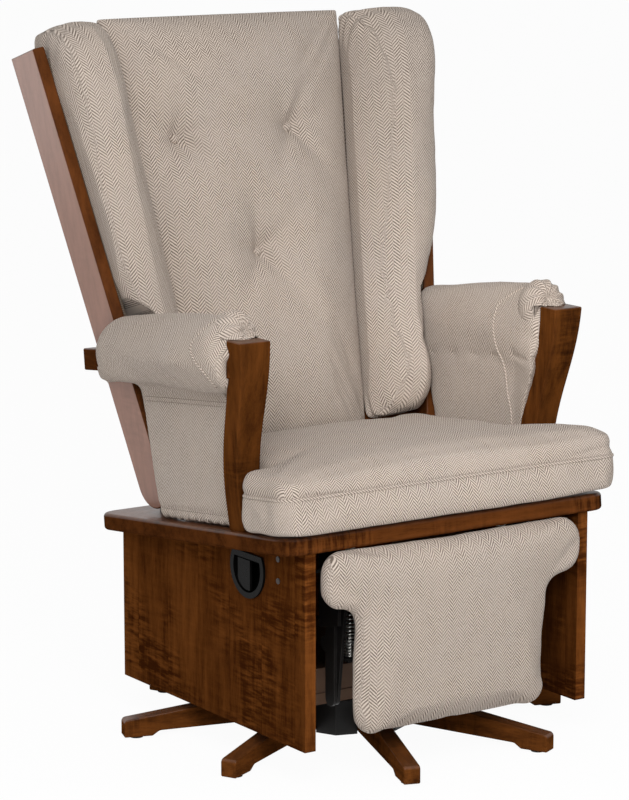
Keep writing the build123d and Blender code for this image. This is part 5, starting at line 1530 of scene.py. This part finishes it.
class GLIDER_OT_footrest_cover(PieceOperator):
    """T shaped footrest pad."""

    bl_idname = "glider.footrest_cover"
    bl_label = "Footrest"

    def build(self):
        piece = skin_of("footrest_cover", ["footrest_pad"])
        places = draw_in(piece, rounds=3, inset=COVER_INSET)
        fill_out(piece, places[:, 1] > places[:, 1].max() - 0.006, share=0.45, rounds=2)
        places = points_of(piece)
        low, high = places[:, 2].min(), places[:, 2].max()
        rise = (places[:, 2] - low) / (high - low)
        places[:, 0] -= FOOTREST_SHIFT + FOOTREST_LOWER_SHIFT * ramp(rise, 0.55, -0.15)
        places[:, 2] += (FOOTREST_TOP_REACH * ramp(rise, 0.7, 0.3)
                         - FOOTREST_FOOT_REACH * ramp(rise, 0.3, -0.3))
        move(piece, places)
        amount = 0.0014 * ripple(places, scale=28.0, seed=71)
        amount += 0.0007 * ripple(places, scale=90.0, seed=72)
        push(piece, amount)
        places = points_of(piece)
        normals = normals_of(piece)
        sideways = np.abs(normals[:, 0]) > 0.74
        across = np.where(sideways, places[:, 1], places[:, 0])
        weave(piece, across, places[:, 2])
        clothe(piece, "footrest")
        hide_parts("footrest_pad")


class GLIDER_OT_springs(PieceOperator):
    """Wound footrest springs that follow the footrest arms at their lower ends."""

    bl_idname = "glider.springs"
    bl_label = "Springs"

    def build(self):
        turns, steps, growth, wire = 26, 20, 0.4, 0.00125
        low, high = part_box("footrest_springs")
        coil = (high[1] - low[1]) / 2 - wire
        middle_y = (low[1] + high[1]) / 2
        share = np.linspace(0.0, 1.0, turns * steps + 1)
        angle = 2 * math.pi * turns * share
        length = high[2] - low[2] - 2 * wire
        rise = low[2] + wire + length * (share * (1 - growth) + growth * share ** 2)
        for name, side in SIDES:
            middle_x = side * (high[0] - coil - wire)
            path = np.stack([middle_x + coil * np.cos(angle), middle_y + coil * np.sin(angle), rise],
                            axis=1)
            piece = tube(name + "_footrest_spring", path, wire, sides=8)
            dress(piece, plated_steel("zinc_plated_steel"))
            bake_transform(piece, "chair", "footrest_arms", start=(middle_x, middle_y, high[2]),
                     end=(middle_x, middle_y, low[2]))
            if side < 0:
                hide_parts("footrest_springs")


class GLIDER_PT_sidebar(bpy.types.Panel):
    """Lists the settings and the operators that build the glider's looks."""

    bl_idname = "GLIDER_PT_sidebar"
    bl_label = "Swivel glider"
    bl_space_type = "VIEW_3D"
    bl_region_type = "UI"
    bl_category = "Glider"

    def draw(self, context):
        layout = self.layout
        choice = context.scene.glider
        for group in (choice.fabric, choice.wood, choice.padding, choice.stage):
            box = layout.box()
            for name in group.bl_rna.properties.keys():
                if name not in ("rna_type", "name"):
                    box.prop(group, name)
        for operator in BUILD_ORDER:
            layout.operator(operator.bl_idname)


SETTING_GROUPS = (FabricSettings, WoodSettings, PaddingSettings, StageSettings, GliderSettings)
BUILD_ORDER = (
    GLIDER_OT_stage, GLIDER_OT_woodwork, GLIDER_OT_metalwork, GLIDER_OT_plastic, GLIDER_OT_seat_cover,
    GLIDER_OT_back_cover, GLIDER_OT_bolsters, GLIDER_OT_buttons, GLIDER_OT_back_panel, GLIDER_OT_arms,
    GLIDER_OT_braid, GLIDER_OT_footrest_cover, GLIDER_OT_springs,
)
CLASSES = SETTING_GROUPS + BUILD_ORDER + (GLIDER_PT_sidebar,)


def register():
    for each in CLASSES:
        bpy.utils.register_class(each)
    bpy.types.Scene.glider = PointerProperty(type=GliderSettings)


def unregister():
    del bpy.types.Scene.glider
    for each in reversed(CLASSES):
        bpy.utils.unregister_class(each)


def main():
    """Builds the looks piece by piece."""
    register()
    for operator in BUILD_ORDER:
        family, name = operator.bl_idname.split(".")
        getattr(getattr(bpy.ops, family), name)()


if __name__ == "__main__":
    main()
